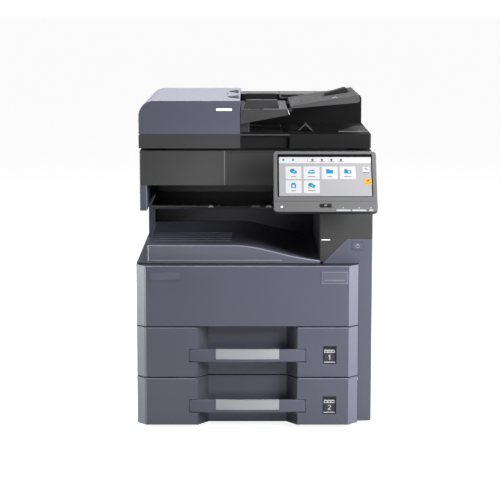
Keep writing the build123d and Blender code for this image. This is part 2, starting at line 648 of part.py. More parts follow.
# ==== document feeder ================================================================================
feeder_left = left + 3.0
feeder_right = right - 2.0
cover_right = feeder_left + feeder_cover_width
step_at = feeder_left + step_x
wall_front = scanner_face + 345.0
wall_top = band_top + back_wall_height
wedge_right = cover_right + 123.0
wedge_top = band_top + wedge_height
feed_front = scanner_face + 15.0
feed_rear = wall_front - gap
roller_x = cover_right - 35.0
roller_z = wedge_top - 9.0
roller_radius = 12.0
roller_shaft = 4.0
post_places = (feed_front + 38.0, feed_rear - 38.0)
document_pin_x = wedge_right + 6.0
document_pin_z = wedge_top - 3.5
barrel = 2.8                  # hinge of the feeder's cover
barrel_half = 6.0
barrel_pin = 1.2
cover_hinges = (scanner_face + 90.0, feeder_rear - 90.0)
with BuildPart() as feeder_base:
    profile(facing(scanner_face), [(feeder_left, feeder_low), (feeder_right, feeder_low),
                                   (feeder_right, band_top), (feeder_left + 3, band_top),
                                   (feeder_left, band_top - 3)], scanner_face - feeder_rear)
    fillet(feeder_base.edges().filter_by(Axis.Z).group_by(Axis.X)[-1], 4.0)
    block((cover_right + 1, feeder_right - 1), (wall_front, wall_front + back_wall_depth),
          (band_top - 1, wall_top))
    fillet(feeder_base.faces().sort_by(Axis.Z)[-1].edges().filter_by(Axis.Y).sort_by(Axis.X)[-1], 14.0)
    block((feeder_left + skin, feeder_right - skin), (scanner_face + 4 * skin, feeder_rear - skin),
          (feeder_low + skin, band_top - skin), mode=Mode.SUBTRACT)
    block((cover_right + 1 + skin, feeder_right - 1 - skin),
          (wall_front + skin, wall_front + back_wall_depth - skin),
          (band_top - 2 * skin, wall_top - skin), mode=Mode.SUBTRACT)
    block((cover_right + skin, step_at), (scanner_face - 1, scanner_face + 2 * skin),
          (feeder_low - 1, band_top - 5),
          mode=Mode.SUBTRACT)
    profile(facing(feed_front), [(cover_right + 1.7, wedge_top), (wedge_right - 2, wedge_top),
                                 (wedge_right + 2, wedge_top - 14), (cover_right + 1.7, wedge_top - 37)],
            feed_front - wall_front - 1)
    block((cover_right + 50, cover_right + 57), (feed_front + 8, feed_rear - 8), (wedge_top - 5, wedge_top + 1),
          mode=Mode.SUBTRACT)
    tent = step_at + 42.0
    profile(facing(scanner_face + 78), [(tent - 23, band_top - 1), (tent, band_top + 22),
                                        (tent + 24, band_top - 1), (tent + 19, band_top - 1),
                                        (tent, band_top + 17), (tent - 18, band_top - 1)], -40)
    for post_y in post_places:
        block((roller_x - 8, roller_x + 8), (post_y - 3, post_y + 3), (band_top - 1, roller_z + 8))
        rod("y", (roller_x, post_y, roller_z), roller_shaft + running, 20.0, mode=Mode.SUBTRACT)
    for pin_y in (feed_front + 30, feed_rear - 30):
        block((wedge_right - 6, document_pin_x + 3), (pin_y - 5, pin_y + 5),
              (document_pin_z - 3, document_pin_z + 3))
        rod("y", (document_pin_x, pin_y, document_pin_z), 2.0 + running, 30.0, mode=Mode.SUBTRACT)
    for barrel_y in cover_hinges:
        for side in (-1, 1):
            rod("y", (feeder_left, barrel_y + side * 13, band_top), barrel, 2 * barrel_half)
        rod("y", (feeder_left, barrel_y, band_top), barrel + 0.3, 2 * barrel_half + 1, mode=Mode.SUBTRACT)
        rod("y", (feeder_left, barrel_y, band_top), barrel_pin + running, 40.0, mode=Mode.SUBTRACT)
    for hinge_x in feeder_hinges:
        block((hinge_x - knuckle / 2 - 9, hinge_x + knuckle / 2 + 9), (feeder_hinge_y - 9, feeder_hinge_y + 9),
              (feeder_low - 1, feeder_hinge_z + hinge_radius + 2), mode=Mode.SUBTRACT)
        for side in (-1, 1):
            lug_x = hinge_x + side * (knuckle / 2 + slide_gap + 3)
            block((lug_x - 3, lug_x + 3), (feeder_hinge_y - 5, feeder_hinge_y + 5),
                  (feeder_hinge_z, feeder_low + 2 * skin + 3))
            rod("x", (lug_x, feeder_hinge_y, feeder_hinge_z), 5.0, 6.0)
        block((hinge_x - knuckle / 2 - 9, hinge_x + knuckle / 2 + 9), (feeder_hinge_y - 9, feeder_hinge_y),
              (feeder_hinge_z + hinge_radius + 2, feeder_hinge_z + hinge_radius + 5))
        rod("x", (hinge_x, feeder_hinge_y, feeder_hinge_z), 3.0, knuckle + 12)
save(feeder_base, "feeder_base")

with BuildPart() as platen_pad:
    block((glass_left - 8, glass_left + glass_size[0] + 8), (glass_front - 8, glass_front + glass_size[1] + 8),
          (scanner_top + 0.6, feeder_low))
save(platen_pad, "platen_pad")

with BuildPart() as feeder_cover:
    cover_bottom = band_top + 0.4
    block((feeder_left, cover_right), (scanner_face, feeder_rear), (cover_bottom, feeder_top))
    fillet(feeder_cover.edges().filter_by(Axis.Y).group_by(Axis.X)[0].sort_by(Axis.Z)[-1], feeder_corner)
    fillet(feeder_cover.faces().sort_by(Axis.Y)[0].edges().filter_by(lambda e: e.center().Z > cover_bottom + 5
           and e.center().X < cover_right - 5), 2.0)
    offset(amount=-wall, openings=feeder_cover.faces().sort_by(Axis.Z)[0])
    for slot_z in ((wedge_top + 1, wedge_top + 14), (band_top + 5, band_top + 22)):
        block((cover_right - 2 * wall, cover_right + 1), (feed_front + 20, feed_rear - 20), slot_z,
              mode=Mode.SUBTRACT)
    for barrel_y in cover_hinges:
        rod("y", (feeder_left, barrel_y, band_top), barrel + 0.3, 6 * barrel_half + 3, mode=Mode.SUBTRACT)
        rod("y", (feeder_left, barrel_y, band_top), barrel, 2 * barrel_half)
        rod("y", (feeder_left, barrel_y, band_top), barrel_pin, 6 * barrel_half)
        block((feeder_left, feeder_left + wall), (barrel_y - barrel_half, barrel_y + barrel_half),
              (band_top, band_top + barrel + 2))
save(feeder_cover, "feeder_cover")

with BuildPart() as feed_roller:
    rod("y", (roller_x, (post_places[0] + post_places[1]) / 2, roller_z), roller_shaft,
        post_places[1] - post_places[0] + 12)
    rod("y", (roller_x, (post_places[0] + post_places[1]) / 2, roller_z), roller_radius, 60.0)
save(feed_roller, "feed_roller")

slope = (cos(radians(tray_slope)), sin(radians(tray_slope)))


def on_slope(along, below):
    """A point of the document tray's section: along its top and square below it."""
    start = (wedge_right + 5.0, wedge_top + 9.0)
    return (start[0] + along * slope[0] + below * slope[1], start[1] + along * slope[1] - below * slope[0])


with BuildPart() as document_tray:
    profile(facing(feed_front), [on_slope(0, 0), on_slope(document_tray_length, 0),
                                 on_slope(document_tray_length, document_tray_thickness + 2), on_slope(0, 7)],
            feed_front - feed_rear)
    fillet(document_tray.edges().filter_by(Axis.Y).sort_by(Axis.X)[-1], 6.0)
    profile(facing(feed_front + 150), [on_slope(96, -6), on_slope(148, -13), on_slope(154, -11.5),
                                       on_slope(160, 1),
                                       on_slope(96, 1)], -48)
    for pin_y in (feed_front + 30, feed_rear - 30):
        for side in (-1, 1):
            lug_y = pin_y + side * 8.5
            rod("y", (document_pin_x, lug_y, document_pin_z), 3.5, 5.0)
            block((document_pin_x - 2, document_pin_x + 3.5), (lug_y - 2.5, lug_y + 2.5),
                  (document_pin_z, document_pin_z + 10))
        rod("y", (document_pin_x, pin_y, document_pin_z), 2.0, 17.0)
save(document_tray, "document_tray")

guide_low = wedge_top + slide_gap
feed_middle = (feed_front + feed_rear) / 2
for guide_name, sign in (("front", -1), ("rear", 1)):
    inner = feed_middle + sign * 115.0
    with BuildPart() as document_guide:
        guide_left = cover_right + 9.0
        face_y = min(inner, inner + sign * 15)
        profile(facing(face_y), [(guide_left, guide_low), (guide_left + 7, guide_low + 22),
                                 (guide_left + 86, guide_low + 22),
                                 (guide_left + 91, guide_low)], -15)
        fillet(document_guide.faces().sort_by(Axis.Z)[-1].edges(), 1.5)
        block((cover_right + 50.5, cover_right + 56.5), (face_y + 1, face_y + 14),
              (wedge_top - 4, guide_low + 2))
    save(document_guide, f"document_{guide_name}_guide")

# ==== operation panel ================================================================================
panel_right = right + panel_overhang
panel_x = panel_right - panel_width / 2
panel_low = scanner_low - 49.4
tilt = radians(panel_tilt)
panel_plane = Plane(origin=(panel_x, front_most, panel_low), x_dir=(1, 0, 0), z_dir=(0, -cos(tilt), sin(tilt)))
pivot_up = 105.0
pivot_back = panel_thickness + 12.0
pivot_y = front_most + pivot_up * sin(tilt) + pivot_back * cos(tilt)
pivot_z = panel_low + pivot_up * cos(tilt) - pivot_back * sin(tilt)
pivot_pin = 3.5
barrel_radius = 8.0
barrel_length = 90.0
screen_up = 101.0             # screen's middle above the panel's lower edge
screen_depth = 2.4
key_size = (27.0, 8.0)
key_up = 18.0
key_thickness = 4.0
key_proud = 0.8
key_travel = 1.2
with BuildPart() as panel_housing:
    with BuildSketch(panel_plane):
        with Locations((0, panel_length / 2)):
            RectangleRounded(panel_width, panel_length, 9.0)
    extrude(amount=-panel_thickness)
    fillet(panel_housing.faces().sort_by(Axis(origin=(0, 0, 0), direction=panel_plane.z_dir))[-1].edges(), 2.0)
    fillet(panel_housing.faces().sort_by(Axis(origin=(0, 0, 0), direction=panel_plane.z_dir))[0].edges(), 4.0)
    with BuildSketch(panel_plane):
        with Locations((0, screen_up)):
            RectangleRounded(screen_size[0] + slide_gap, screen_size[1] + slide_gap, 3.0)
    extrude(amount=-screen_depth, mode=Mode.SUBTRACT)
    with BuildSketch(panel_plane.offset(-screen_depth - 2)):
        with Locations((0, screen_up - 10)):
            Rectangle(screen_size[0] - 20, screen_size[1] - 10)
    extrude(amount=-(panel_thickness - screen_depth - 2 - wall), mode=Mode.SUBTRACT)
    with BuildSketch(panel_plane):
        with Locations((0, key_up)):
            RectangleRounded(key_size[0] + 2 * slide_gap, key_size[1] + 2 * slide_gap, 2.0)
    extrude(amount=-(key_thickness + key_travel + key_proud), mode=Mode.SUBTRACT)
    for side in (-1, 1):
        lug_plane = Plane.YZ.offset(panel_x + side * (barrel_length / 2 + slide_gap) + (0 if side > 0 else -8))
        with BuildSketch(lug_plane):
            with BuildLine():
                back = [panel_plane.from_local_coords((0, up, -panel_thickness + 1))
                        for up in (pivot_up - 14, pivot_up + 14)]
                far = [panel_plane.from_local_coords((0, up, -pivot_back))
                       for up in (pivot_up + 7, pivot_up - 7)]
                Polyline(*[(point.Y, point.Z) for point in back + far], close=True)
            make_face()
            with Locations((pivot_y, pivot_z)):
                Circle(7.0)
        extrude(amount=8.0)
    for side in (-1, 1):
        rod("x", (panel_x + side * (barrel_length / 2 - 2), pivot_y, pivot_z), pivot_pin, 20.0)
save(panel_housing, "panel_housing")

with BuildPart() as touch_screen:
    with BuildSketch(panel_plane.offset(-screen_depth)):
        with Locations((0, screen_up)):
            RectangleRounded(*screen_size, 3.0)
    extrude(amount=screen_depth - 0.2)
save(touch_screen, "touch_screen")

with BuildPart() as home_key:
    with BuildSketch(panel_plane.offset(key_proud)):
        with Locations((0, key_up)):
            RectangleRounded(*key_size, 1.8)
    extrude(amount=-key_thickness)
    fillet(home_key.faces().sort_by(Axis(origin=(0, 0, 0), direction=panel_plane.z_dir))[-1].edges(), 0.5)
save(home_key, "home_key")

with BuildPart() as panel_bracket:
    rod("x", (panel_x, pivot_y, pivot_z), barrel_radius, barrel_length)
    block((panel_x - 32, panel_x + 32), (pivot_y, scanner_face + skin), (pivot_z - 6, pivot_z + 6))
    block((panel_x - 40, panel_x + 40), (scanner_face, scanner_face + skin), (scanner_low + 3, pivot_z + 20))
    for side in (-1, 1):
        rod("x", (panel_x + side * barrel_length / 2, pivot_y, pivot_z), pivot_pin + running, 26.0,
            mode=Mode.SUBTRACT)
save(panel_bracket, "panel_bracket")

# ==== right door and bypass tray =====================================================================
door_thickness = 14.0
bypass_thickness = 7.0
bypass_y = (door_front + 26.0, door_rear - 42.0)
bypass_low = door_low + 96.0
bypass_top = bypass_low + 236.0
bypass_pin_x = right - 3.5
bypass_pin_z = bypass_low + 4.0
with BuildPart() as right_door:
    block((right - door_thickness, right), (door_front, door_rear), (door_low, door_top))
    fillet(right_door.edges().filter_by(Axis.Z).group_by(Axis.Y)[-1].sort_by(Axis.X)[-1], 6.0)
    offset(amount=-wall, openings=right_door.faces().sort_by(Axis.X)[0])
    frame_y = (bypass_y[0] - 10, bypass_y[1] + 10)
    block((right - door_thickness, right - 1), frame_y, (bypass_low - 10, bypass_top + 10))
    block((right - bypass_thickness - 1, right + 1), (bypass_y[0] - slide_gap, bypass_y[1] + slide_gap),
          (bypass_low - 1, bypass_top + 1), mode=Mode.SUBTRACT)
    block((right - door_thickness - 1, right - door_thickness + 3), (frame_y[0] + wall, frame_y[1] - wall),
          (bypass_low, bypass_top), mode=Mode.SUBTRACT)
    rod("y", (bypass_pin_x, sum(bypass_y) / 2, bypass_pin_z), 1.8 + running, bypass_y[1] - bypass_y[0] + 13,
        mode=Mode.SUBTRACT)
    rod("z", (door_pin_x, door_pin_y, (door_low + door_top) / 2), door_pin, door_top - door_low + 2 * (gap + 6))
    for rib in range(5):
        rib_y = door_front + 50 + 48 * rib
        block((right - door_thickness - 12, right - door_thickness + 1), (rib_y - 1.5, rib_y + 1.5),
              (door_top - 150, door_top - 20))
save(right_door, "right_door")

with BuildPart() as bypass_tray:
    block((right - bypass_thickness, right), bypass_y, (bypass_low, bypass_top))
    fillet(bypass_tray.edges().filter_by(Axis.Y).group_by(Axis.Z)[0], 3.3)
    block((right - bypass_thickness / 2, right + 1), (sum(bypass_y) / 2 - 40, sum(bypass_y) / 2 + 40),
          (bypass_top - 12, bypass_top + 1), mode=Mode.SUBTRACT)
    rod("y", (bypass_pin_x, sum(bypass_y) / 2, bypass_pin_z), 1.8, bypass_y[1] - bypass_y[0] + 12)
save(bypass_tray, "bypass_tray")

# ==== print engine ===================================================================================
path_x = right - 78.0                       # the sheet rises here, at the right of the engine
roller_span = (frame_front + 45.0, frame_rear - 60.0)
fuser_z = shelf + 28.0
fuser_roller = 15.0
fuser_shaft = 5.0
fuser_wall = 4.0
nip_gap = 0.4
heat_x = path_x - fuser_roller - nip_gap / 2
press_x = path_x + fuser_roller + nip_gap / 2
with BuildPart() as fuser_housing:
    fuser_x = (heat_x - 22.0, press_x + 22.0)
    fuser_levels = (fuser_z - 22.0, fuser_z + 22.0)
    block(fuser_x, (roller_span[0] - fuser_wall, roller_span[1] + fuser_wall), fuser_levels)
    block((fuser_x[0] + skin, fuser_x[1] - skin), roller_span, (fuser_levels[0] - 1, fuser_levels[1] + 1),
          mode=Mode.SUBTRACT)
    for shaft_x in (heat_x, press_x):
        rod("y", (shaft_x, sum(roller_span) / 2, fuser_z), fuser_shaft + running,
            roller_span[1] - roller_span[0] + 30,
            mode=Mode.SUBTRACT)
save(fuser_housing, "fuser_housing")

roller_length = roller_span[1] - roller_span[0]
for roller_name, shaft_x in (("heat_roller", heat_x), ("pressure_roller", press_x)):
    with BuildPart() as fuser_part:
        rod("y", (shaft_x, sum(roller_span) / 2, fuser_z), fuser_roller, roller_length - 8)
        rod("y", (shaft_x, sum(roller_span) / 2, fuser_z), fuser_shaft, roller_length + 2 * fuser_wall + 6)
    save(fuser_part, roller_name)

drum_x = path_x - 31.0
drum_z = deck + 80.0
with BuildPart() as drum_unit:
    block((drum_x - 52, drum_x - 4), (roller_span[0], roller_span[1]), (drum_z - 26, drum_z + 24))
    rod("y", (drum_x, sum(roller_span) / 2, drum_z), 15.0, roller_length - 10)
    rod("y", (drum_x, roller_span[0] - 6, drum_z), 5.0, 24.0)
save(drum_unit, "drum_unit")

with BuildPart() as laser_unit:
    block((left + 190, drum_x - 60), (frame_front + 60, frame_rear - 40), (deck + plate + 6, deck + plate + 52))
    block((left + 210, drum_x - 80), (frame_front + 80, frame_rear - 60), (deck + plate, deck + plate + 6))
    block((drum_x - 61, drum_x - 56), (frame_front + 85, frame_rear - 65),
          (deck + plate + 38, deck + plate + 48))
save(laser_unit, "laser_unit")

bottle_radius = 34.0
with BuildPart() as toner_container:
    bottle = (left + 130.0, (frame_front + frame_rear) / 2 - 30, deck + plate + 62.0 + bottle_radius)
    rod("y", bottle, bottle_radius, 360.0)
    rod("y", (bottle[0], bottle[1] + 190, bottle[2]), 14.0, 20.0)
    block((bottle[0] - 20, bottle[0] + 20), (bottle[1] - 160, bottle[1] + 160),
          (deck + plate, bottle[2] - bottle_radius + 8))
    fillet(toner_container.edges().filter_by(GeomType.CIRCLE).group_by(Axis.Y)[0], 3.0)
save(toner_container, "toner_container")

with BuildPart() as power_supply:
    supply_y = (frame_rear + plate + 4.0, rear - skin - 8.0)
    block((right - 210, right - 30), supply_y, (frame_low, frame_low + 84))
    with Locations(Location((right - 120, supply_y[0] + 40, frame_low + 84), (0, 0, 0))):
        with GridLocations(12.0, 1.0, 10, 1):
            Box(4.0, 60.0, 6.0, mode=Mode.SUBTRACT)
    block((inlet_x - 18, inlet_x + 18), (supply_y[1] - 26, supply_y[1] + 1), (inlet_z - 14, inlet_z + 14),
          mode=Mode.SUBTRACT)
save(power_supply, "power_supply")

with BuildPart() as power_inlet:
    block((inlet_x - 16.5, inlet_x + 16.5), (supply_y[1] - 24, rear - 0.5), (inlet_z - 12.5, inlet_z + 12.5))
    fillet(power_inlet.edges().filter_by(Axis.Y).group_by(Axis.Z)[-1], 5.0)
    block((inlet_x - 12, inlet_x + 12), (rear - 18, rear + 1), (inlet_z - 8, inlet_z + 8), mode=Mode.SUBTRACT)
    for pin_x in (-7, 0, 7):
        block((inlet_x + pin_x - 1, inlet_x + pin_x + 1), (rear - 20, rear - 4), (inlet_z - 3, inlet_z + 3))
save(power_inlet, "power_inlet")

with BuildPart() as control_board:
    board_y = rear - skin - 26.0
    block((left + 40, left + 330), (board_y, board_y + 1.6), (deck + 20, shelf + 60))
    for chip_x, chip_z, width, height, depth in ((90, 60, 34, 34, 4), (170, 40, 60, 12, 10),
                                                 (170, 90, 22, 40, 5),
                                                 (250, 60, 40, 40, 18), (240, 130, 50, 14, 9)):
        block((left + 40 + chip_x - width / 2, left + 40 + chip_x + width / 2),
              (board_y + 1.6, board_y + 1.6 + depth),
              (deck + 20 + chip_z - height / 2, deck + 20 + chip_z + height / 2))
    for stand_x in (left + 50, left + 320):
        for stand_z in (deck + 30, shelf + 50):
            rod("y", (stand_x, (frame_rear + plate + board_y) / 2, stand_z), 3.0, board_y - frame_rear - plate)
save(control_board, "control_board")
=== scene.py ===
import bpy
import bmesh
from math import cos, pi, radians, sin
from mathutils import Matrix, Vector


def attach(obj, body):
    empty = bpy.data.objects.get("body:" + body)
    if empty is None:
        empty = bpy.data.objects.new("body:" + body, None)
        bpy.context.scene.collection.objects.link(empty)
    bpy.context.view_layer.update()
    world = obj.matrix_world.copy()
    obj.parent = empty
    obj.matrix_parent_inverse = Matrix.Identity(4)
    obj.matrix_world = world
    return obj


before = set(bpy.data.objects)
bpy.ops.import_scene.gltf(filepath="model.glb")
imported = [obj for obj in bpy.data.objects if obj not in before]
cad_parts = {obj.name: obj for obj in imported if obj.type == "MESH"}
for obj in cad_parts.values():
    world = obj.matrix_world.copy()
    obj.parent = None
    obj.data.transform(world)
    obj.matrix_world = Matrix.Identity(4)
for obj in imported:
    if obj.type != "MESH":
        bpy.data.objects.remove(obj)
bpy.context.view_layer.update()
print("frame loaded:", len(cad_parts), "nodes")

mm = 0.001  # the sizes of the object are in millimetres, those of the studio in metres


def toLinear(hexColour):
    # sRGB hex to the linear values that a shader socket wants
    channels = [int(hexColour[i:i + 2], 16) / 255 for i in (1, 3, 5)]
    return tuple(c / 12.92 if c <= 0.04045 else ((c + 0.055) / 1.055) ** 2.4 for c in channels) + (1.0,)


def addNode(material, kind, settings=None, inputs=None, links=None):
    # settings are attributes, inputs are socket values, links are socket: (node, output)
    node = material.node_tree.nodes.new(kind)
    for name, value in (settings or {}).items():
        setattr(node, name, value)
    for name, value in (inputs or {}).items():
        node.inputs[name].default_value = value
    for name, (source, output) in (links or {}).items():
        material.node_tree.links.new(source.outputs[output], node.inputs[name])
    return node


def startMaterial(name):
    material = bpy.data.materials.new(name)
    material.use_nodes = True
    material.node_tree.nodes.clear()
    return material


def finishMaterial(material, shader):
    addNode(material, "ShaderNodeOutputMaterial", links={"Surface": (shader, 0)})
    return material


def zoneMask(material, place, zone):
    # 1 inside a zone, 0 outside: its ranges are in millimetres, and "facing" keeps faces turned one way
    ends = addNode(material, "ShaderNodeSeparateXYZ", links={"Vector": (place, "Object")})
    masks = []
    for axis in "XYZ":
        if axis in zone:
            for operation, limit in zip(("GREATER_THAN", "LESS_THAN"), zone[axis]):
                masks.append(addNode(material, "ShaderNodeMath", {"operation": operation}, {1: limit * mm},
                                     {0: (ends, axis)}))
    if "facing" in zone:
        direction, least = zone["facing"]
        turn = addNode(material, "ShaderNodeVectorMath", {"operation": "DOT_PRODUCT"}, {1: direction},
                       {0: (place, "Normal")})
        masks.append(addNode(material, "ShaderNodeMath", {"operation": "GREATER_THAN"}, {1: least},
                             {0: (turn, "Value")}))
    mask = masks[0]
    for other in masks[1:]:
        mask = addNode(material, "ShaderNodeMath", {"operation": "MULTIPLY"}, {},
                       {0: (mask, 0), 1: (other, 0)})
    return mask


def mouldedPlastic(name, look):
    # a spark-eroded mould leaves a fine matt grain; broad flow marks shift colour and gloss a little
    material = startMaterial(name)
    place = addNode(material, "ShaderNodeTexCoord")
    grain = addNode(material, "ShaderNodeTexNoise",
                    inputs={"Scale": 1 / (look["grainMm"] * mm), "Detail": 2.0},
                    links={"Vector": (place, "Object")})
    flow = addNode(material, "ShaderNodeTexNoise",
                   inputs={"Scale": 1 / (look["flowMm"] * mm), "Detail": 3.0},
                   links={"Vector": (place, "Object")})
    colour = addNode(material, "ShaderNodeMix", {"data_type": "RGBA"},
                     {6: toLinear(look["colour"]), 7: toLinear(look["shade"])}, {0: (flow, "Fac")})
    for zone in look["zones"]:
        mask = zoneMask(material, place, zone)
        colour = addNode(material, "ShaderNodeMix", {"data_type": "RGBA"}, {7: toLinear(zone["colour"])},
                         {0: (mask, 0), 6: (colour, 2)})
    gloss = addNode(material, "ShaderNodeMapRange",
                    inputs={"To Min": look["roughness"] - look["glossSpread"],
                            "To Max": look["roughness"] + look["glossSpread"]},
                    links={"Value": (grain, "Fac")})
    bump = addNode(material, "ShaderNodeBump",
                   inputs={"Strength": look["bump"], "Distance": look["depthMm"] * mm},
                   links={"Height": (grain, "Fac")})
    shader = addNode(material, "ShaderNodeBsdfPrincipled",
                     inputs={"IOR": 1.53, "Specular IOR Level": look["specular"]},
                     links={"Base Color": (colour, 2), "Roughness": (gloss, 0), "Normal": (bump, 0)})
    return finishMaterial(material, shader)


up, upForward, leftForward = (0, 0, 1), (0, -0.707, 0.707), (-0.7, -0.7, 0)
intoChannelLeft, intoChannelRight = (0.783, -0.622, 0), (-0.783, -0.622, 0)
panelFront = (0, -cos(radians(33)), sin(radians(33)))  # the way the tilted panel looks
trayTop = (-0.158, 0, 0.987)  # the way the document tray's top looks
# painted highlights, shared by the cover and the drawer fronts: paler on rounded edges that face up and
# forward, and on the left front bevel
litTopEdge = {"facing": (upForward, 0.92), "colour": "#8D8F9E"}  # rounded edges catch the light
litLeftBevel = {"X": (-301, -280), "facing": (leftForward, 0.9), "colour": "#6C6E7D"}
# what a spark-eroded mould leaves, unless a look says otherwise; the grain is drawn several times
# coarser than the real one, which would be too fine to show
mouldGrain = {"glossSpread": 0.05, "grainMm": 0.9, "flowMm": 120, "bump": 0.2, "depthMm": 0.05,
              "specular": 0.5, "zones": []}
# zones give tones that the moulding's own shading and gaps don't bring out at this size; most are painted
# shade and painted highlights
plasticLooks = {
    # satin blue-grey body panels
    "mouldedBlueGreyAbs": {"colour": "#555766", "shade": "#4F515F", "roughness": 0.38, "flowMm": 140,
                           "bump": 0.22},
    # the same, with painted shade on its top face for the dark gap between it and the shelf, and painted
    # highlights on its left bevel and top edge
    "mouldedCoverAbs": {"colour": "#565867", "shade": "#505260", "roughness": 0.38, "flowMm": 140,
                        "bump": 0.22,
                        "zones": [{"Y": (-299.6, -250), "Z": (416.2, 418), "facing": (up, 0.95),
                                   "colour": "#191A20"}, litLeftBevel, litTopEdge]},
    # drawer fronts, with painted shade on the slants and floor of the handle channel, and painted highlights
    # on the left bevel and top edge
    "mouldedDrawerAbs": {"colour": "#555766", "shade": "#4F515F", "roughness": 0.38, "flowMm": 140,
                         "bump": 0.22,
                         "zones": [{"X": (-150, -115), "facing": (intoChannelLeft, 0.93),
                                    "colour": "#2D2F38"},
                                   {"X": (75, 110), "facing": (intoChannelRight, 0.93), "colour": "#373943"},
                                   {"X": (-122, 80), "Y": (-280, -262), "facing": ((0, -1, 0), 0.9),
                                    "colour": "#4C4E5B"}, litLeftBevel, litTopEdge]},
    # the feeder's cover, its top painted paler as a painted highlight
    "mouldedFeederCoverAbs": {"colour": "#565867", "shade": "#505260", "roughness": 0.4, "flowMm": 140,
                              "bump": 0.22, "zones": [{"facing": (up, 0.8), "colour": "#90919C"}]},
    # a glossier tray with a darker bed and a painted highlight on its rounded lip
    "mouldedOutputTrayAbs": {"colour": "#676977", "shade": "#616370", "roughness": 0.34, "flowMm": 140,
                             "bump": 0.18,
                             "zones": [{"Y": (-249, 400), "facing": (up, 0.4), "colour": "#50505F"},
                                       {"Y": (-262, -250), "facing": (upForward, 0.8), "colour": "#868897"}]},
    # dull dark grey
    "mouldedDarkGreyAbs": {"colour": "#3D3D3E", "shade": "#373738", "roughness": 0.44, "bump": 0.22},
    # dark grey, darker on the recessed right of its front and on its top, with a painted highlight along the
    # step at the left of the recess
    "mouldedScannerAbs": {"colour": "#3E3E3F", "shade": "#393939", "roughness": 0.44, "bump": 0.22,
                          "zones": [{"X": (-78, 300), "Y": (-400, -150), "colour": "#323233"},
                                    {"X": (-80.5, -78), "Y": (-400, -150), "colour": "#6A6A6C"},
                                    {"Z": (695, 800), "facing": (up, 0.7), "colour": "#242425"}]},
    # dark grey at the left and nearly black where sheets come out, with little shine, and a painted highlight
    # along the rim over the scoop
    "mouldedFeederBaseAbs": {"colour": "#454546", "shade": "#3F3F40", "roughness": 0.42, "specular": 0.15,
                             "glossSpread": 0.06,
                             "zones": [{"X": (-39.5, 300), "Z": (690, 742), "colour": "#1D1D1E"},
                                       {"X": (-39.5, 86), "Y": (-300, -195), "Z": (734.5, 740),
                                        "colour": "#4A4A4C"},
                                       {"X": (-39.5, 300), "Y": (142.5, 400), "Z": (737, 825),
                                        "colour": "#0C0C0D"},
                                       {"X": (-39.5, 300), "Y": (142, 400), "Z": (815, 825),
                                        "facing": (up, 0.5), "colour": "#6A6A6C"},
                                       {"X": (20, 90), "Y": (-186, 142), "Z": (796, 803), "facing": (up, 0.5),
                                        "colour": "#5E5E60"}]},
    # mid grey sides round a darker top, black at the sheet stop
    "mouldedDocumentTrayAbs": {"colour": "#464647", "shade": "#414142", "roughness": 0.42,
                               "zones": [{"facing": (trayTop, 0.9), "colour": "#3E3E40"},
                                         {"X": (175, 252), "Y": (-41, 13), "colour": "#1B1B1C"}]},
    # smooth black
    "mouldedBlackAbs": {"colour": "#1A1A1C", "shade": "#151517", "roughness": 0.36, "glossSpread": 0.06,
                        "grainMm": 0.8, "flowMm": 90, "bump": 0.18},
    # a black tray painted grey as painted light, so that it still reads as a surface in deep shade
    "mouldedInnerTrayAbs": {"colour": "#4A4A4D", "shade": "#444447", "roughness": 0.3, "grainMm": 0.8,
                            "flowMm": 90, "bump": 0.15},
    # blue-grey darkened as painted shade for walls, wells, ramps and gaps; the drawer labels' dark number
    # block takes it as its own print colour
    "cavityShadeAndLabelPrintAbs": {"colour": "#353540", "shade": "#2F2F3A", "roughness": 0.44, "grainMm": 0.8,
                         "flowMm": 110},
    # black shell with a mid grey face
    "mouldedPanelAbs": {"colour": "#161617", "shade": "#121213", "roughness": 0.36, "grainMm": 0.7,
                        "flowMm": 80, "bump": 0.15, "depthMm": 0.04,
                        "zones": [{"facing": (panelFront, 0.93), "colour": "#5E5E5F"}]},
    # the tower's front, dull and darkest of the outer covers
    "mouldedTowerAbs": {"colour": "#3C3C3D", "shade": "#373738", "roughness": 0.44, "bump": 0.22},
    # light, dull grey of inner trays and bottles
    "mouldedLightGreyAbs": {"colour": "#9EA0A2", "shade": "#96989B", "roughness": 0.5, "flowMm": 100},
    # small trim in pale, mid and dark grey
    "mouldedPaleGreyAbs": {"colour": "#C6C6C8", "shade": "#BEBEC0", "roughness": 0.42, "grainMm": 0.8,
                           "flowMm": 60, "bump": 0.15, "depthMm": 0.04},
    "mouldedMidGreyAbs": {"colour": "#68686A", "shade": "#616163", "roughness": 0.42, "grainMm": 0.8,
                          "flowMm": 60, "bump": 0.15, "depthMm": 0.04},
    "mouldedTrayTopAbs": {"colour": "#444446", "shade": "#3F3F41", "roughness": 0.4, "grainMm": 0.8,
                          "flowMm": 60, "bump": 0.15, "depthMm": 0.04},
    # matt white pad, its front edge in the shade of the closed lid
    "foamBackedWhitePet": {"colour": "#E6E6E3", "shade": "#DDDDD9", "roughness": 0.6, "grainMm": 1.2,
                           "flowMm": 60, "bump": 0.15, "depthMm": 0.04,
                           "zones": [{"Z": (690, 702.2), "facing": ((0, -1, 0), 0.5), "colour": "#1C1C1D"}]},
    # glossy green varnish, uneven over its tracks
    "screenPrintedSolderMask": {"colour": "#1D5A33", "shade": "#174A2A", "roughness": 0.35, "grainMm": 2.0,
                                "flowMm": 30},
    # fine metallic paint on the handles' grips
    "spraySilverPaintedAbs": {"colour": "#A3A5A8", "shade": "#9B9EA2", "roughness": 0.36, "grainMm": 0.6,
                              "flowMm": 50, "bump": 0.12, "depthMm": 0.03},
    # smooth blank plates, a shade lighter than the cover
    "mouldedNameplateAbs": {"colour": "#5F6170", "shade": "#5A5C6A", "roughness": 0.3, "glossSpread": 0.04,
                            "grainMm": 0.6, "flowMm": 50, "bump": 0.1, "depthMm": 0.03},
}
for name, look in plasticLooks.items():
    mouldedPlastic(name, {**mouldGrain, **look})


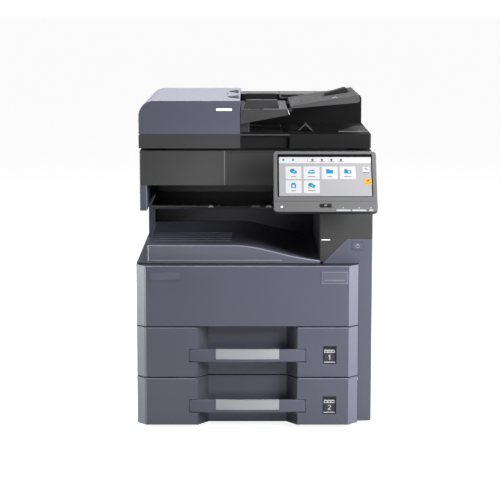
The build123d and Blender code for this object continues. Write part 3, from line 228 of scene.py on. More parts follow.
def rubberMaterial(look):
    # vulcanised rubber: very matt, with a soft uneven skin
    material = startMaterial("mouldedVulcanisedRubber")
    place = addNode(material, "ShaderNodeTexCoord")
    skin = addNode(material, "ShaderNodeTexNoise",
                   inputs={"Scale": 1 / (look["skinMm"] * mm), "Detail": 4.0},
                   links={"Vector": (place, "Object")})
    ramp = addNode(material, "ShaderNodeValToRGB", links={"Fac": (skin, "Fac")})
    ramp.color_ramp.elements[0].color = toLinear(look["dark"])
    ramp.color_ramp.elements[1].color = toLinear(look["light"])
    bump = addNode(material, "ShaderNodeBump", inputs={"Strength": 0.3, "Distance": 0.1 * mm},
                   links={"Height": (skin, "Fac")})
    shader = addNode(material, "ShaderNodeBsdfPrincipled",
                     inputs={"Roughness": look["roughness"], "IOR": 1.52},
                     links={"Base Color": (ramp, "Color"), "Normal": (bump, "Normal")})
    return finishMaterial(material, shader)


def zincSteelMaterial(look):
    # hot-dip zinc: pale grey spangles a few millimetres across, each with its own gloss
    material = startMaterial("hotDippedZincSteel")
    place = addNode(material, "ShaderNodeTexCoord")
    spangle = addNode(material, "ShaderNodeTexVoronoi", inputs={"Scale": 1 / (look["spangleMm"] * mm)},
                      links={"Vector": (place, "Object")})
    tone = addNode(material, "ShaderNodeMix", {"data_type": "RGBA"},
                   {6: toLinear(look["dark"]), 7: toLinear(look["light"])}, {0: (spangle, "Color")})
    gloss = addNode(material, "ShaderNodeMapRange", inputs={"To Min": 0.38, "To Max": 0.46},
                    links={"Value": (spangle, "Color")})
    shader = addNode(material, "ShaderNodeBsdfPrincipled", inputs={"Metallic": 1.0},
                     links={"Roughness": (gloss, "Result"), "Base Color": (tone, 2)})
    return finishMaterial(material, shader)


def floatGlassMaterial(look):
    # float glass over a dark well: clear, with a faint green body
    material = startMaterial("polishedFloatGlass")
    place = addNode(material, "ShaderNodeTexCoord")
    haze = addNode(material, "ShaderNodeTexNoise", inputs={"Scale": 1 / (look["hazeMm"] * mm)},
                   links={"Vector": (place, "Object")})
    gloss = addNode(material, "ShaderNodeMapRange", inputs={"To Min": 0.02, "To Max": 0.06},
                    links={"Value": (haze, "Fac")})
    shader = addNode(material, "ShaderNodeBsdfPrincipled",
                     inputs={"Base Color": toLinear(look["colour"]), "IOR": 1.52,
                             "Transmission Weight": 0.9}, links={"Roughness": (gloss, "Result")})
    return finishMaterial(material, shader)


def coverGlassMaterial(look):
    # black printed cover glass of the screen: deep black under a polished face with faint smears
    material = startMaterial("backPrintedCoverGlass")
    place = addNode(material, "ShaderNodeTexCoord")
    smear = addNode(material, "ShaderNodeTexNoise",
                    inputs={"Scale": 1 / (look["smearMm"] * mm), "Detail": 5.0},
                    links={"Vector": (place, "Object")})
    gloss = addNode(material, "ShaderNodeMapRange", inputs={"To Min": 0.06, "To Max": 0.16},
                    links={"Value": (smear, "Fac")})
    shader = addNode(material, "ShaderNodeBsdfPrincipled",
                     inputs={"Base Color": toLinear(look["colour"]), "IOR": 1.5},
                     links={"Roughness": (gloss, "Result")})
    return finishMaterial(material, shader)


def litFilmMaterial(name, look):
    # back-lit film: it glows evenly, with the slight fall-off of a light guide
    material = startMaterial(name)
    place = addNode(material, "ShaderNodeTexCoord")
    guide = addNode(material, "ShaderNodeTexNoise", inputs={"Scale": 1 / (look["guideMm"] * mm)},
                    links={"Vector": (place, "Object")})
    tone = addNode(material, "ShaderNodeMix", {"data_type": "RGBA"},
                   {6: toLinear(look["colour"]), 7: toLinear(look["shade"])}, {0: (guide, "Fac")})
    shader = addNode(material, "ShaderNodeBsdfPrincipled",
                     inputs={"Roughness": 0.3, "Emission Strength": look["glow"]},
                     links={"Base Color": (tone, 2), "Emission Color": (tone, 2)})
    return finishMaterial(material, shader)


rubberMaterial({"skinMm": 1.5, "dark": "#151515", "light": "#232323", "roughness": 0.8})
zincSteelMaterial({"spangleMm": 4, "dark": "#A3A6A9", "light": "#B6B9BC"})
floatGlassMaterial({"hazeMm": 40, "colour": "#CFE2DC"})
coverGlassMaterial({"smearMm": 25, "colour": "#0B0B0D"})
filmLooks = {
    "backlitGreyFilm": {"colour": "#87878A", "shade": "#838386", "guideMm": 60, "glow": 0.4},
    "backlitWhiteFilm": {"colour": "#A6A6A8", "shade": "#A2A2A5", "guideMm": 40, "glow": 0.45},
    "backlitTealFilm": {"colour": "#0E7390", "shade": "#0C6B87", "guideMm": 20, "glow": 0.3},
    "backlitAmberFilm": {"colour": "#D48A10", "shade": "#CE830C", "guideMm": 20, "glow": 0.4},
    "printedGreyInk": {"colour": "#4A4A4D", "shade": "#434347", "guideMm": 20, "glow": 0.15},
    "mouldedWhiteDiffuser": {"colour": "#F4F4F2", "shade": "#EDEDEB", "guideMm": 10, "glow": 0.7},
}
for name, look in filmLooks.items():
    litFilmMaterial(name, look)
print("materials made:", len(bpy.data.materials))

# which finish each CAD node gets
nodeFinish = {
    "mouldedBlueGreyAbs": ["left_cover", "rear_cover", "right_cover", "tower_lower_cover",
                           "left_upper_cover", "right_door", "bypass_tray", "drawer_1_handle",
                           "drawer_2_handle", "power_button"],
    "mouldedDrawerAbs": ["drawer_1_front", "drawer_2_front"],
    "mouldedCoverAbs": ["front_cover"],
    "mouldedFeederCoverAbs": ["feeder_cover"],
    "mouldedOutputTrayAbs": ["output_tray"],
    "mouldedScannerAbs": ["scanner_housing"],
    "mouldedFeederBaseAbs": ["feeder_base"],
    "mouldedDocumentTrayAbs": ["document_tray"],
    "mouldedTowerAbs": ["tower_cover"],
    "mouldedDarkGreyAbs": ["document_front_guide", "panel_bracket"],
    "mouldedBlackAbs": ["document_rear_guide", "fuser_housing", "laser_unit", "power_inlet", "drum_unit",
                        "mirror_carriage", "lens_unit", "home_key", "heat_roller"],
    "mouldedInnerTrayAbs": ["inner_tray"],
    "cavityShadeAndLabelPrintAbs": ["cavity_wall"],
    "mouldedPanelAbs": ["panel_housing"],
    "mouldedLightGreyAbs": ["drawer_1_tray", "drawer_2_tray", "drawer_1_front_guide",
                            "drawer_1_rear_guide", "drawer_2_front_guide", "drawer_2_rear_guide",
                            "toner_container"],
    "foamBackedWhitePet": ["platen_pad"],
    "screenPrintedSolderMask": ["control_board"],
    "spraySilverPaintedAbs": ["drawer_1_grip", "drawer_2_grip"],
    "mouldedNameplateAbs": ["cover_plates"],
    "mouldedVulcanisedRubber": ["feet", "feed_roller", "pressure_roller"],
    "hotDippedZincSteel": ["base_plate", "left_frame", "right_frame", "rear_frame", "engine_deck",
                           "drawer_rails", "lamp_carriage", "power_supply", "drawer_1_lift_plate",
                           "drawer_2_lift_plate"],
    "polishedFloatGlass": ["platen_glass"],
    "backPrintedCoverGlass": ["touch_screen"],
}
for finish, names in nodeFinish.items():
    for name in names:
        node = bpy.data.objects[name]
        node.data.materials.clear()
        node.data.materials.append(bpy.data.materials[finish])
print("CAD nodes finished:", sum(len(names) for names in nodeFinish.values()))

cameraSet = {"place": (-0.0146, -4.163, 1.0981), "downDegrees": 7.59, "lens": 113.07, "shiftY": -0.1}
camera = bpy.data.objects.new("studioCamera", bpy.data.cameras.new("studioCamera"))
bpy.context.scene.collection.objects.link(camera)
camera.location = cameraSet["place"]
camera.rotation_euler = (radians(90 - cameraSet["downDegrees"]), 0, 0)
camera.data.lens = cameraSet["lens"]
camera.data.shift_y = cameraSet["shiftY"]
camera.data.clip_end = 200
bpy.context.scene.camera = camera

studio = {"floorHalf": 60.0, "floorColour": "#AEAEAE", "floorGlow": 0.9, "ambient": 0.15,
          "backdrop": "#FFFFFF", "viewTransform": "Standard"}
lamps = {
    # name: (place, aim, width, height, watts)
    "rightSoftbox": ((1.35, -1.0, 1.1), (0.15, -0.3, 0.5), 0.6, 0.9, 54),
    "rightStrip": ((2.4, -0.6, 0.9), (0.2, -0.2, 0.5), 0.4, 1.8, 48),
    "leftStrip": ((-2.4, -0.3, 0.9), (-0.2, -0.2, 0.5), 0.4, 1.8, 62),
    "topSoftbox": ((0.0, 0.6, 2.8), (0.0, 0.0, 0.5), 2.0, 1.4, 95),
}
# a narrow spot that reaches into the output space
snoot = {"place": (-0.3, -2.4, 0.74), "aim": (-0.08, 0.1, 0.535), "angle": 9.0, "watts": 26, "softSize": 0.08}


def makeFloor():
    mesh = bpy.data.meshes.new("studioFloor")
    half = studio["floorHalf"]
    mesh.from_pydata([(-half, -half, 0), (half, -half, 0), (half, half, 0), (-half, half, 0)], [],
                     [(0, 1, 2, 3)])
    floor = bpy.data.objects.new("studioFloor", mesh)
    bpy.context.scene.collection.objects.link(floor)
    material = startMaterial("paintedStudioFloor")  # matt white paint, only faintly uneven
    place = addNode(material, "ShaderNodeTexCoord")
    paint = addNode(material, "ShaderNodeTexNoise", inputs={"Scale": 0.8},
                    links={"Vector": (place, "Object")})
    gloss = addNode(material, "ShaderNodeMapRange", inputs={"To Min": 0.75, "To Max": 0.85},
                    links={"Value": (paint, "Fac")})
    paper = addNode(material, "ShaderNodeBsdfPrincipled",
                    inputs={"Base Color": toLinear(studio["floorColour"])},
                    links={"Roughness": (gloss, "Result")})
    # overexposed for the lens only, so that it doesn't light the object
    seen = addNode(material, "ShaderNodeLightPath")
    glow = addNode(material, "ShaderNodeMath", {"operation": "MULTIPLY"}, {1: studio["floorGlow"]},
                   {0: (seen, "Is Camera Ray")})
    light = addNode(material, "ShaderNodeEmission", links={"Strength": (glow, 0)})
    both = addNode(material, "ShaderNodeAddShader", links={0: (paper, 0), 1: (light, 0)})
    mesh.materials.append(finishMaterial(material, both))


def hangLamp(light, place, aim):
    lamp = bpy.data.objects.new(light.name, light)
    lamp.location = place
    lamp.rotation_euler = (Vector(aim) - Vector(place)).to_track_quat("-Z", "Y").to_euler()
    bpy.context.scene.collection.objects.link(lamp)


def makeLights():
    world = bpy.data.worlds.new("studioAir")
    bpy.context.scene.world = world
    world.use_nodes = True
    air = world.node_tree
    air.nodes.clear()
    room = addNode(world, "ShaderNodeBackground", inputs={"Strength": studio["ambient"]})
    backdrop = addNode(world, "ShaderNodeBackground", inputs={"Color": toLinear(studio["backdrop"])})
    seen = addNode(world, "ShaderNodeLightPath")  # the paper backdrop is white without lighting the object
    choice = addNode(world, "ShaderNodeMixShader",
                     links={0: (seen, "Is Camera Ray"), 1: (room, 0), 2: (backdrop, 0)})
    addNode(world, "ShaderNodeOutputWorld", links={"Surface": (choice, 0)})
    for name, (place, aim, width, height, watts) in lamps.items():
        light = bpy.data.lights.new(name, "AREA")
        light.shape, light.size, light.size_y, light.energy = "RECTANGLE", width, height, watts
        hangLamp(light, place, aim)
    light = bpy.data.lights.new("snoot", "SPOT")
    light.spot_size, light.spot_blend, light.energy = radians(snoot["angle"]), 1.0, snoot["watts"]
    light.shadow_soft_size = snoot["softSize"]
    hangLamp(light, snoot["place"], snoot["aim"])
    bpy.context.scene.view_settings.view_transform = studio["viewTransform"]


makeFloor()
makeLights()
print("stage, camera and lights set")


def link(name, mesh, finish, body):
    piece = bpy.data.objects.new(name, mesh)
    bpy.context.scene.collection.objects.link(piece)
    mesh.materials.append(bpy.data.materials[finish])
    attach(piece, body)
    return piece


def plane(origin, across, up):
    # axes of a local drawing plane, all in millimetres; its third axis comes out towards the viewer
    across, up = Vector(across).normalized(), Vector(up).normalized()
    out = across.cross(up)
    return Matrix(((across.x, up.x, out.x, origin[0]), (across.y, up.y, out.y, origin[1]),
                   (across.z, up.z, out.z, origin[2]), (0, 0, 0, 1)))


def cutOut(name, outline, place, low, high, finish, body, bevel=0.3, holes=()):
    # a flat shape with a softened rim, from low to high out of its plane
    shape = bmesh.new()
    rings = [outline, *holes]
    edges = []
    for ring in rings:
        corners = [shape.verts.new((x, y, high)) for x, y in ring]
        edges += [shape.edges.new((corners[k - 1], corners[k])) for k in range(len(corners))]
    if holes:
        bmesh.ops.triangle_fill(shape, edges=edges, use_beauty=True, normal=(0, 0, 1))
    else:
        shape.faces.new([e.verts[0] for e in edges])
    bmesh.ops.recalc_face_normals(shape, faces=shape.faces)
    if sum(face.normal.z for face in shape.faces) < 0:
        bmesh.ops.reverse_faces(shape, faces=shape.faces)
    top = list(shape.faces)
    made = bmesh.ops.extrude_face_region(shape, geom=top)
    moved = [item for item in made["geom"] if isinstance(item, bmesh.types.BMVert)]
    for vert in shape.verts:
        if vert not in moved:
            vert.co.z = low
    bmesh.ops.recalc_face_normals(shape, faces=shape.faces)
    if bevel:
        rim = [e for e in shape.edges if all(abs(v.co.z - high) < 1e-6 for v in e.verts)
               and any(abs(f.normal.z) < 0.5 for f in e.link_faces)]
        bmesh.ops.bevel(shape, geom=rim, offset=bevel, segments=2, profile=0.5, affect="EDGES",
                        clamp_overlap=True)
    shape.transform(Matrix.Scale(mm, 4) @ place)
    mesh = bpy.data.meshes.new(name)
    shape.to_mesh(mesh)
    shape.free()
    return link(name, mesh, finish, body)


def roundedBox(centreX, centreY, width, height, radius, steps=5):
    points = []
    for turn, (sx, sy) in enumerate(((1, 1), (-1, 1), (-1, -1), (1, -1))):
        for step in range(steps + 1):
            angle = (turn + step / steps) * pi / 2
            points.append((centreX + sx * (width / 2 - radius) + radius * cos(angle),
                           centreY + sy * (height / 2 - radius) + radius * sin(angle)))
    return points


def ellipse(centreX, centreY, width, height, steps=28):
    return [(centreX + width / 2 * cos(2 * pi * k / steps), centreY + height / 2 * sin(2 * pi * k / steps))
            for k in range(steps)]


front = plane((0, 0, 0), (1, 0, 0), (0, 0, 1))  # drawing plane seen from the front: x right, y up


def atDepth(y):
    # the front plane moved to a depth, so that low and high grow towards the viewer
    return Matrix.Translation((0, y, 0)) @ front


def flatAt(z):
    return Matrix.Translation((0, 0, z))


panel = {
    "middleX": 171.7, "lowY": -342.0, "lowZ": 558.7, "tilt": 33.0,
    "display": (-114.2, 115.3, 43.5, 152.0),  # left, right, low, high on the glass
    "headerHigh": 17.7, "tileSize": (39.5, 35.0), "tilePitch": (45.0, 38.8), "firstTile": (-78.3, 108.0),
    "tiles": 6, "tilesAcross": 4, "symbolScale": 1.22,
    "headerSymbols": (-103.1, -78.8, -30.4, -6.7, 17.0, 40.7),
    "lightBars": ((26.0, 60.5), (65.0, 99.5), (106.5, 117.0)),  # left and right end of each
}
panelPlane = plane((panel["middleX"], panel["lowY"], panel["lowZ"]), (1, 0, 0),
                   (0, sin(radians(panel["tilt"])), cos(radians(panel["tilt"]))))
glassFace = -0.2


def onPanel(name, outline, finish, low=glassFace, high=glassFace + 0.25, bevel=0.08, holes=()):
    return cutOut("panel_" + name, outline, panelPlane, low, high, finish, "panel", bevel, holes)


def makeScreen():
    left, right, low, high = panel["display"]
    onPanel("display", roundedBox((left + right) / 2, (low + high) / 2, right - left, high - low, 1.0),
            "backlitGreyFilm")
    layer = glassFace + 0.25
    headerLow = high - panel["headerHigh"]
    onPanel("header",
            roundedBox((left + right) / 2, (headerLow + high) / 2 - 0.6, right - left - 1,
                       panel["headerHigh"] - 1.8, 0.6), "backlitWhiteFilm", layer, layer + 0.15, 0.05)
    for k, along in enumerate(panel["headerSymbols"]):  # little header symbols
        onPanel(f"header_symbol_{k}", ellipse(along, headerLow + 9.8, 6.0, 6.6, 14),
                "backlitTealFilm" if k < 2 else "printedGreyInk", layer + 0.15, layer + 0.25, 0)
        if k >= 2:
            onPanel(f"header_rule_{k}", roundedBox(along, headerLow + 4.4, 13.0, 1.4, 0.5),
                    "printedGreyInk", layer + 0.15, layer + 0.25, 0)
    onPanel("header_divider", roundedBox(-43.0, headerLow + 8.0, 0.8, 9.5, 0.3), "printedGreyInk",
            layer + 0.15, layer + 0.25, 0)
    firstX, firstY = panel["firstTile"]
    wide, tall = panel["tileSize"]
    for k in range(panel["tiles"]):
        x = firstX + panel["tilePitch"][0] * (k % panel["tilesAcross"])
        y = firstY - panel["tilePitch"][1] * (k // panel["tilesAcross"])
        onPanel(f"tile_{k}", roundedBox(x, y, wide, tall, 1.6), "backlitWhiteFilm", layer, layer + 0.18, 0.06)
        onPanel(f"tile_rule_{k}", roundedBox(x, y - 10.5, 12.0 + 7 * (k % 2), 1.5, 0.6), "printedGreyInk",
                layer + 0.18, layer + 0.28, 0)
        tileSymbol(k, x, y + 4.0, layer + 0.18)
    onPanel("side_tile", roundedBox(102.4, 117.3, 16.0, 14.0, 1.4), "backlitWhiteFilm", layer, layer + 0.18,
            0.06)
    onPanel("side_symbol", [(98, 121), (100, 122.6), (107, 116), (105.6, 114.4)], "printedGreyInk",
            layer + 0.18, layer + 0.28, 0)
    onPanel("side_rule", roundedBox(102.4, 108.4, 15.0, 1.4, 0.5), "printedGreyInk", layer, layer + 0.12, 0)
    onPanel("amber_tile", roundedBox(106.4, 84.4, 17.4, 15.2, 1.0), "backlitAmberFilm", layer, layer + 0.2,
            0.06)
    onPanel("amber_symbol", [(102, 84), (104.4, 86.4), (110, 91), (111, 89.4), (106, 82.8)],
            "printedGreyInk", layer + 0.2, layer + 0.28, 0)
    onPanel("amber_rule", roundedBox(106.4, 79.6, 10.0, 1.2, 0.5), "printedGreyInk", layer + 0.2,
            layer + 0.28, 0)


def tileSymbol(k, x, y, layer):
    # plain symbols: two discs, a tray, two folders, a cabinet and two discs with an amber spot
    def part(name, outline, finish="backlitTealFilm", lift=0.0):
        grown = panel["symbolScale"]
        outline = [(x + grown * (px - x), y + grown * (py - y)) for px, py in outline]
        onPanel(f"symbol_{k}_{name}", outline, finish, layer + lift, layer + lift + 0.1, 0)
    if k in (0, 5):
        part("disc_1", ellipse(x - 2.2, y + 1.2, 10.5, 9.5, 20))
        part("disc_2", ellipse(x + 3.2, y - 1.8, 8.5, 7.5, 20), lift=0.1)
        part("gap", [(x - 1.5, y - 0.6), (x - 0.6, y + 0.6), (x + 3.6, y - 1.2), (x + 2.8, y - 2.4)],
             "backlitWhiteFilm", 0.2)
        if k == 5:
            part("spot", ellipse(x - 5.4, y - 4.4, 4.6, 4.6, 14), "backlitAmberFilm", 0.2)
    elif k == 1:
        part("tray",
             [(x - 7, y - 5), (x + 7, y - 5), (x + 7, y - 0.8), (x + 3, y - 2), (x - 3, y - 2),
              (x - 7, y - 0.8)])
        part("arrow",
             [(x - 6, y + 1), (x - 2, y + 3.6), (x + 3, y + 3.2), (x + 2.4, y + 5.6), (x + 7, y + 2.2),
              (x + 3, y - 0.4), (x + 3, y + 1.2), (x - 1.5, y + 1.4), (x - 4.5, y - 0.6)])
    elif k in (2, 3):
        part("folder",
             [(x - 7, y - 5), (x + 7, y - 5), (x + 7, y + 3), (x + 0.5, y + 3), (x - 1, y + 5),
              (x - 7, y + 5)])
        if k == 3:
            part("tab", roundedBox(x + 2.6, y - 0.8, 3.6, 5.0, 0.8), "backlitWhiteFilm", 0.1)
    else:
        part("cabinet",
             [(x - 5, y - 6), (x + 5, y - 6), (x + 5, y + 3), (x + 2.5, y + 6), (x - 2.5, y + 6),
              (x - 5, y + 3)])
        part("door", roundedBox(x, y - 1.5, 4.2, 6.0, 0.8), "backlitWhiteFilm", 0.1)


def makePanelTrim():
    face = -0.05
    onPanel("fold_line", roundedBox(0, 30.0, 254.0, 0.7, 0.3), "mouldedBlackAbs", face - 0.1, face + 0.12,
            0)
    onPanel("ready_light", ellipse(-108.0, 14.5, 5.4, 5.4, 20), "mouldedWhiteDiffuser", face - 0.1,
            face + 0.35, 0.15)
    onPanel("key_rim", roundedBox(0, 18.0, 30.4, 11.0, 3.2), "mouldedBlackAbs", face - 0.1, face + 0.3,
            0.12, holes=[roundedBox(0, 18.0, 28.2, 9.2, 2.4)])
    onPanel("key_mark", roundedBox(0, 18.0, 4.6, 3.4, 0.6), "mouldedPaleGreyAbs", 0.75, 0.92, 0.05,
            holes=[roundedBox(0, 18.0, 3.4, 2.2, 0.4)])
    for k, (left, right) in enumerate(panel["lightBars"]):
        onPanel(f"light_bar_{k}", roundedBox((left + right) / 2, 5.0, right - left, 4.4, 0.8),
                "spraySilverPaintedAbs", face - 0.6, face + 0.5, 0.2)
        onPanel(f"light_mark_{k}", roundedBox((left + right) / 2, 11.8, 3.0, 2.0, 0.6),
                "mouldedPaleGreyAbs", face - 0.1, face + 0.15, 0.05)


makeScreen()
makePanelTrim()
print("touch panel detailed")

labels = {
    "middleX": 185.75, "floorY": -297.0,
    "drawers": {"1": 190.5, "2": 61.0},  # drawer number: height of the window's middle
    "windowSize": (34.5, 45.6), "stripSize": (27.0, 8.0), "blockSize": (27.0, 17.5),
}


def numeral(number, x, y, size):
    if number == "1":
        corners = ((-0.06, -0.5), (0.12, -0.5), (0.12, 0.5), (-0.04, 0.5), (-0.26, 0.32), (-0.26, 0.17),
                   (-0.06, 0.27))
        return [(x + across * size, y + up * size) for across, up in corners]
    # the outer and inner edge of the 2's bow, then its foot
    outer = [(x + size * (0.30 * cos(a)), y + size * (0.21 + 0.29 * sin(a)))
             for a in [radians(165 - 15 * k) for k in range(14)]]
    inner = [(x + size * (0.15 * cos(a)), y + size * (0.21 + 0.145 * sin(a)))
             for a in [radians(-35 + 15 * k) for k in range(14)]]
    return (outer + [(x - 0.06 * size, y - 0.35 * size), (x + 0.31 * size, y - 0.35 * size),
                     (x + 0.31 * size, y - 0.5 * size), (x - 0.31 * size, y - 0.5 * size),
                     (x - 0.31 * size, y - 0.37 * size)] + inner)


def makeDrawerLabel(number, middleZ):
    body, slot = f"drawer_{number}", "badge_plastic"
    x = labels["middleX"]
    wide, tall = labels["windowSize"]
    floor = atDepth(labels["floorY"])
    # the window's well, darkened as painted shade
    cutOut(f"label_{number}_well", roundedBox(x, middleZ, wide - 1.0, tall - 1.0, 1.0), floor, 0.05, 0.35,
           "cavityShadeAndLabelPrintAbs", body, 0.1)
    # a black wedge along the window's top, a painted shadow
    cutOut(f"label_{number}_top_shadow",
           [(x - 16.6, middleZ + 22.2), (x + 16.6, middleZ + 22.2), (x + 10, middleZ + 14.5),
            (x - 10, middleZ + 14.5)], floor, 0.35, 0.8, "mouldedBlackAbs", body, 0.2)
    cutOut(f"label_{number}_strip", roundedBox(x, middleZ + 8.6, *labels["stripSize"], 0.6), floor, 0.35,
           1.6, "mouldedPaleGreyAbs", body, 0.25)
    for k in range(3):  # blank paper size marks
        cutOut(f"label_{number}_size_{k}", roundedBox(x - 8.4 + 8.4 * k, middleZ + 8.6, 5.6, 4.2, 0.8),
               floor, 1.6, 1.8, "mouldedMidGreyAbs", body, 0.06)
    cutOut(f"label_{number}_block", roundedBox(x, middleZ - 6.6, *labels["blockSize"], 0.8), floor, 0.35,
           1.8, "cavityShadeAndLabelPrintAbs", body, 0.3)
    cutOut(f"label_{number}_numeral", numeral(number, x, middleZ - 6.6, 13.0), floor, 1.8, 2.05,
           "mouldedPaleGreyAbs", body, 0.06)
    cutOut(f"label_{number}_sill", roundedBox(x, middleZ - 19.0, 29.0, 2.0, 0.6), floor, 0.35, 3.2,
           "mouldedPaleGreyAbs", body, 0.3)


for number, middleZ in labels["drawers"].items():
    makeDrawerLabel(number, middleZ)
print("drawer labels made")

feeder = {
    "coverFace": -202.0, "coverTop": 823.4, "wallFace": 143.0, "wallTop": 817.9,
    "bandTop": 737.9, "feedFront": -187.0, "wedgeTop": 799.9, "trayStart": (88.0, 808.9), "traySlope": 9.1,
    "latchRampShades": ((-71.0, -47.0, 92.0, 196.0), (-72.0, -44.0, -128.0, -30.0)),  # left, right, front, back
    "clips": ((9.0, -92.0), (13.0, -20.0), (19.0, 40.0)), "exitRibs": 5, "exitRibPitch": 55,
}


def onFeeder(name, outline, place, low, high, finish, bevel=0.3, body="feeder",
             holes=()):
    return cutOut("feeder_" + name, outline, place, low, high, finish, body, bevel, holes)


def makeFeederCover():
    face = atDepth(feeder["coverFace"])
    onFeeder("light_strip", roundedBox(-80.3, 800.5, 39.4, 5.9, 0.8), face, -0.5, 0.35,
             "mouldedWhiteDiffuser", 0.15, "feeder_cover")
    top = flatAt(feeder["coverTop"])
    for k, (left, right, low, high) in enumerate(feeder["latchRampShades"]):
        # painted shade of each finger ramp of the cover's latch: a dark triangle on the side towards the
        # front
        onFeeder(f"latch_ramp_shade_{k}", [(left, (low + high) / 2), (right, low), (right, high)], top, -0.5, 2.6,
                 "cavityShadeAndLabelPrintAbs", 0.8, "feeder_cover")
    onFeeder("latch_bar", roundedBox(-42.6, 60.0, 4.6, 330.0, 1.2), top, -0.5, 1.6, "mouldedFeederCoverAbs",
             0.6, "feeder_cover")
    onFeeder("latch_pin", roundedBox(-74.5, 52.0, 3.0, 34.0, 1.0), top, -0.5, 1.2, "mouldedBlackAbs", 0.4,
             "feeder_cover")


def makeFeederWall():
    wall = atDepth(feeder["wallFace"])
    high = feeder["wallTop"]
    onFeeder("wall_recess", [(-36, 786), (52, 786), (54, 790), (54, high - 0.6), (-36, high - 0.6)], wall,
             -0.3, 0.8, "mouldedBlackAbs", 0.3)
    onFeeder("wall_pocket",
             [(70, 806), (162, 806), (166, 810), (166, high - 0.6), (66, high - 0.6), (66, 810)], wall,
             -0.3, 0.9, "mouldedMidGreyAbs", 0.4,
             holes=[[(72, 808.6), (160, 808.6), (163, 811), (163, high - 2.4), (69, high - 2.4),
                     (69, 811)]])
    onFeeder("wall_pocket_floor", roundedBox(116, 812.2, 96, 9.6, 2.0), wall, -0.3, 0.3, "mouldedBlackAbs",
             0.1)
    top = flatAt(high)
    for k, x in enumerate((67.0, 166.0)):
        onFeeder(f"wall_split_{k}", roundedBox(x, 204, 1.6, 118, 0.5), top, -0.4, 0.25, "mouldedBlackAbs",
                 0)


def makeFeedEntry():
    front = atDepth(feeder["feedFront"])
    onFeeder("entry_block", [(-39.4, 738.4), (-17, 738.4), (-16, 763.0), (-39.4, 762.4)], atDepth(-150.0),
             -60.0, 0.0, "mouldedDarkGreyAbs", 1.0)
    # a pale strip along the right slope of the feed entry, a painted highlight
    onFeeder("entry_edge_highlight", [(80.2, 799.0), (82.2, 799.0), (86.2, 787.0), (84.0, 786.4)], front, -0.4, 0.9,
             "mouldedPaleGreyAbs", 0.2)
    onFeeder("entry_rail", roundedBox(-12.5, feeder["wedgeTop"] - 40, 52, 1.6, 0.6), front, -0.4, 0.4,
             "mouldedBlackAbs", 0.1)


def makeTrayTop():
    slope = radians(feeder["traySlope"])
    x, z = feeder["trayStart"]
    # x runs up the tray, y runs to the back, out of the plane is square to the tray's top
    top = plane((x, 0, z), (cos(slope), 0, sin(slope)), (0, 1, 0))

    def onTray(name, outline, low, high, finish, bevel=0.3, holes=()):
        onFeeder("tray_" + name, outline, top, low, high, finish, bevel, "document_tray", holes)

    onTray("slider_well", roundedBox(52, -50, 52, 150, 3.0), -0.4, 0.35, "mouldedTrayTopAbs", 0.15)
    onTray("slider_rim", roundedBox(52, -50, 56, 156, 4.0), -0.4, 0.5, "mouldedMidGreyAbs", 0.15,
           holes=[roundedBox(52, -50, 53, 152, 3.0)])
    onTray("slider_plate", roundedBox(44, -66, 30, 86, 2.0), 0.35, 1.3, "mouldedDarkGreyAbs", 0.4)
    for k, (along, across) in enumerate(feeder["clips"]):
        onTray(f"clip_{k}", roundedBox(along, across, 13.0, 26.0, 2.0), -0.4, 1.6, "mouldedMidGreyAbs", 0.5)
        onTray(f"clip_gap_{k}", roundedBox(along + 1.5, across, 6.0, 12.0, 1.0), 1.6, 1.75,
               "mouldedBlackAbs", 0.05)
    for k in range(3):
        onTray(f"stack_mark_{k}", roundedBox(116, -150 + 8 * k, 12.0, 1.4, 0.5), -0.3, 0.3,
               "mouldedPaleGreyAbs", 0.05)
    onTray("edge_trim", roundedBox(172.4, -23, 1.6, 300, 0.6), -0.4, 0.5, "mouldedMidGreyAbs", 0.15)


def makeExitTop():
    top = flatAt(feeder["bandTop"])
    onFeeder("exit_pocket", roundedBox(281, 78, 16, 78, 3.0), top, -0.4, 0.3, "mouldedBlackAbs", 0.1)
    onFeeder("exit_ledge", [(214, -126), (289, -126), (289, 22), (262, 22)], top, -0.4, 2.6,
             "mouldedDarkGreyAbs", 0.8)
    onFeeder("exit_ledge_line", [(212, -132), (289.5, -132), (289.5, -127), (216, -127)], top, -0.4, 1.2,
             "mouldedMidGreyAbs", 0.4)
    for k in range(feeder["exitRibs"]):
        onFeeder(f"exit_rib_{k}", roundedBox(20, -150 + feeder["exitRibPitch"] * k, 96, 3.0, 1.2), top, -0.4,
                 1.6, "mouldedBlackAbs", 0.6)
    # a grey line along the rim over the black scoop, a painted highlight
    onFeeder("scoop_rim_highlight", roundedBox(24.5, 734.4, 121.0, 1.5, 0.5), atDepth(-202.0), -0.5, 0.0,
             "mouldedMidGreyAbs", 0.1)


makeFeederCover()
makeFeederWall()
makeFeedEntry()
makeTrayTop()
makeExitTop()
print("feeder detailed")

tower = {"face": -260.0, "lightX": 176.0, "lightZ": 476.7, "buttonX": 256.4, "buttonZ": 461.3}


def makeTower():
    face = atDepth(tower["face"])
    cutOut("tower_light", roundedBox(tower["lightX"], tower["lightZ"], 22.6, 2.0, 0.6), face, -1.3, -0.1,
           "mouldedWhiteDiffuser", "cabinet", 0.15)
    x, z = tower["buttonX"], tower["buttonZ"]
    cutOut("power_button_ring", ellipse(x, z, 9.6, 9.6), face, 0.4, 0.66, "mouldedLightGreyAbs",
           "power_button", 0.06, [ellipse(x, z, 7.6, 7.6)])
    cutOut("power_button_bar", roundedBox(x, z + 3.4, 1.5, 5.6, 0.6), face, 0.62, 0.8,
           "mouldedLightGreyAbs", "power_button", 0.05)
    # a dark ring round the power button, painted shade in the gap
    cutOut("power_button_gap_shade", roundedBox(x, z, 29.6, 21.6, 4.2), face, -0.4, 0.35, "cavityShadeAndLabelPrintAbs",
           "cabinet", 0.12, [roundedBox(x, z, 28.4, 20.4, 3.6)])


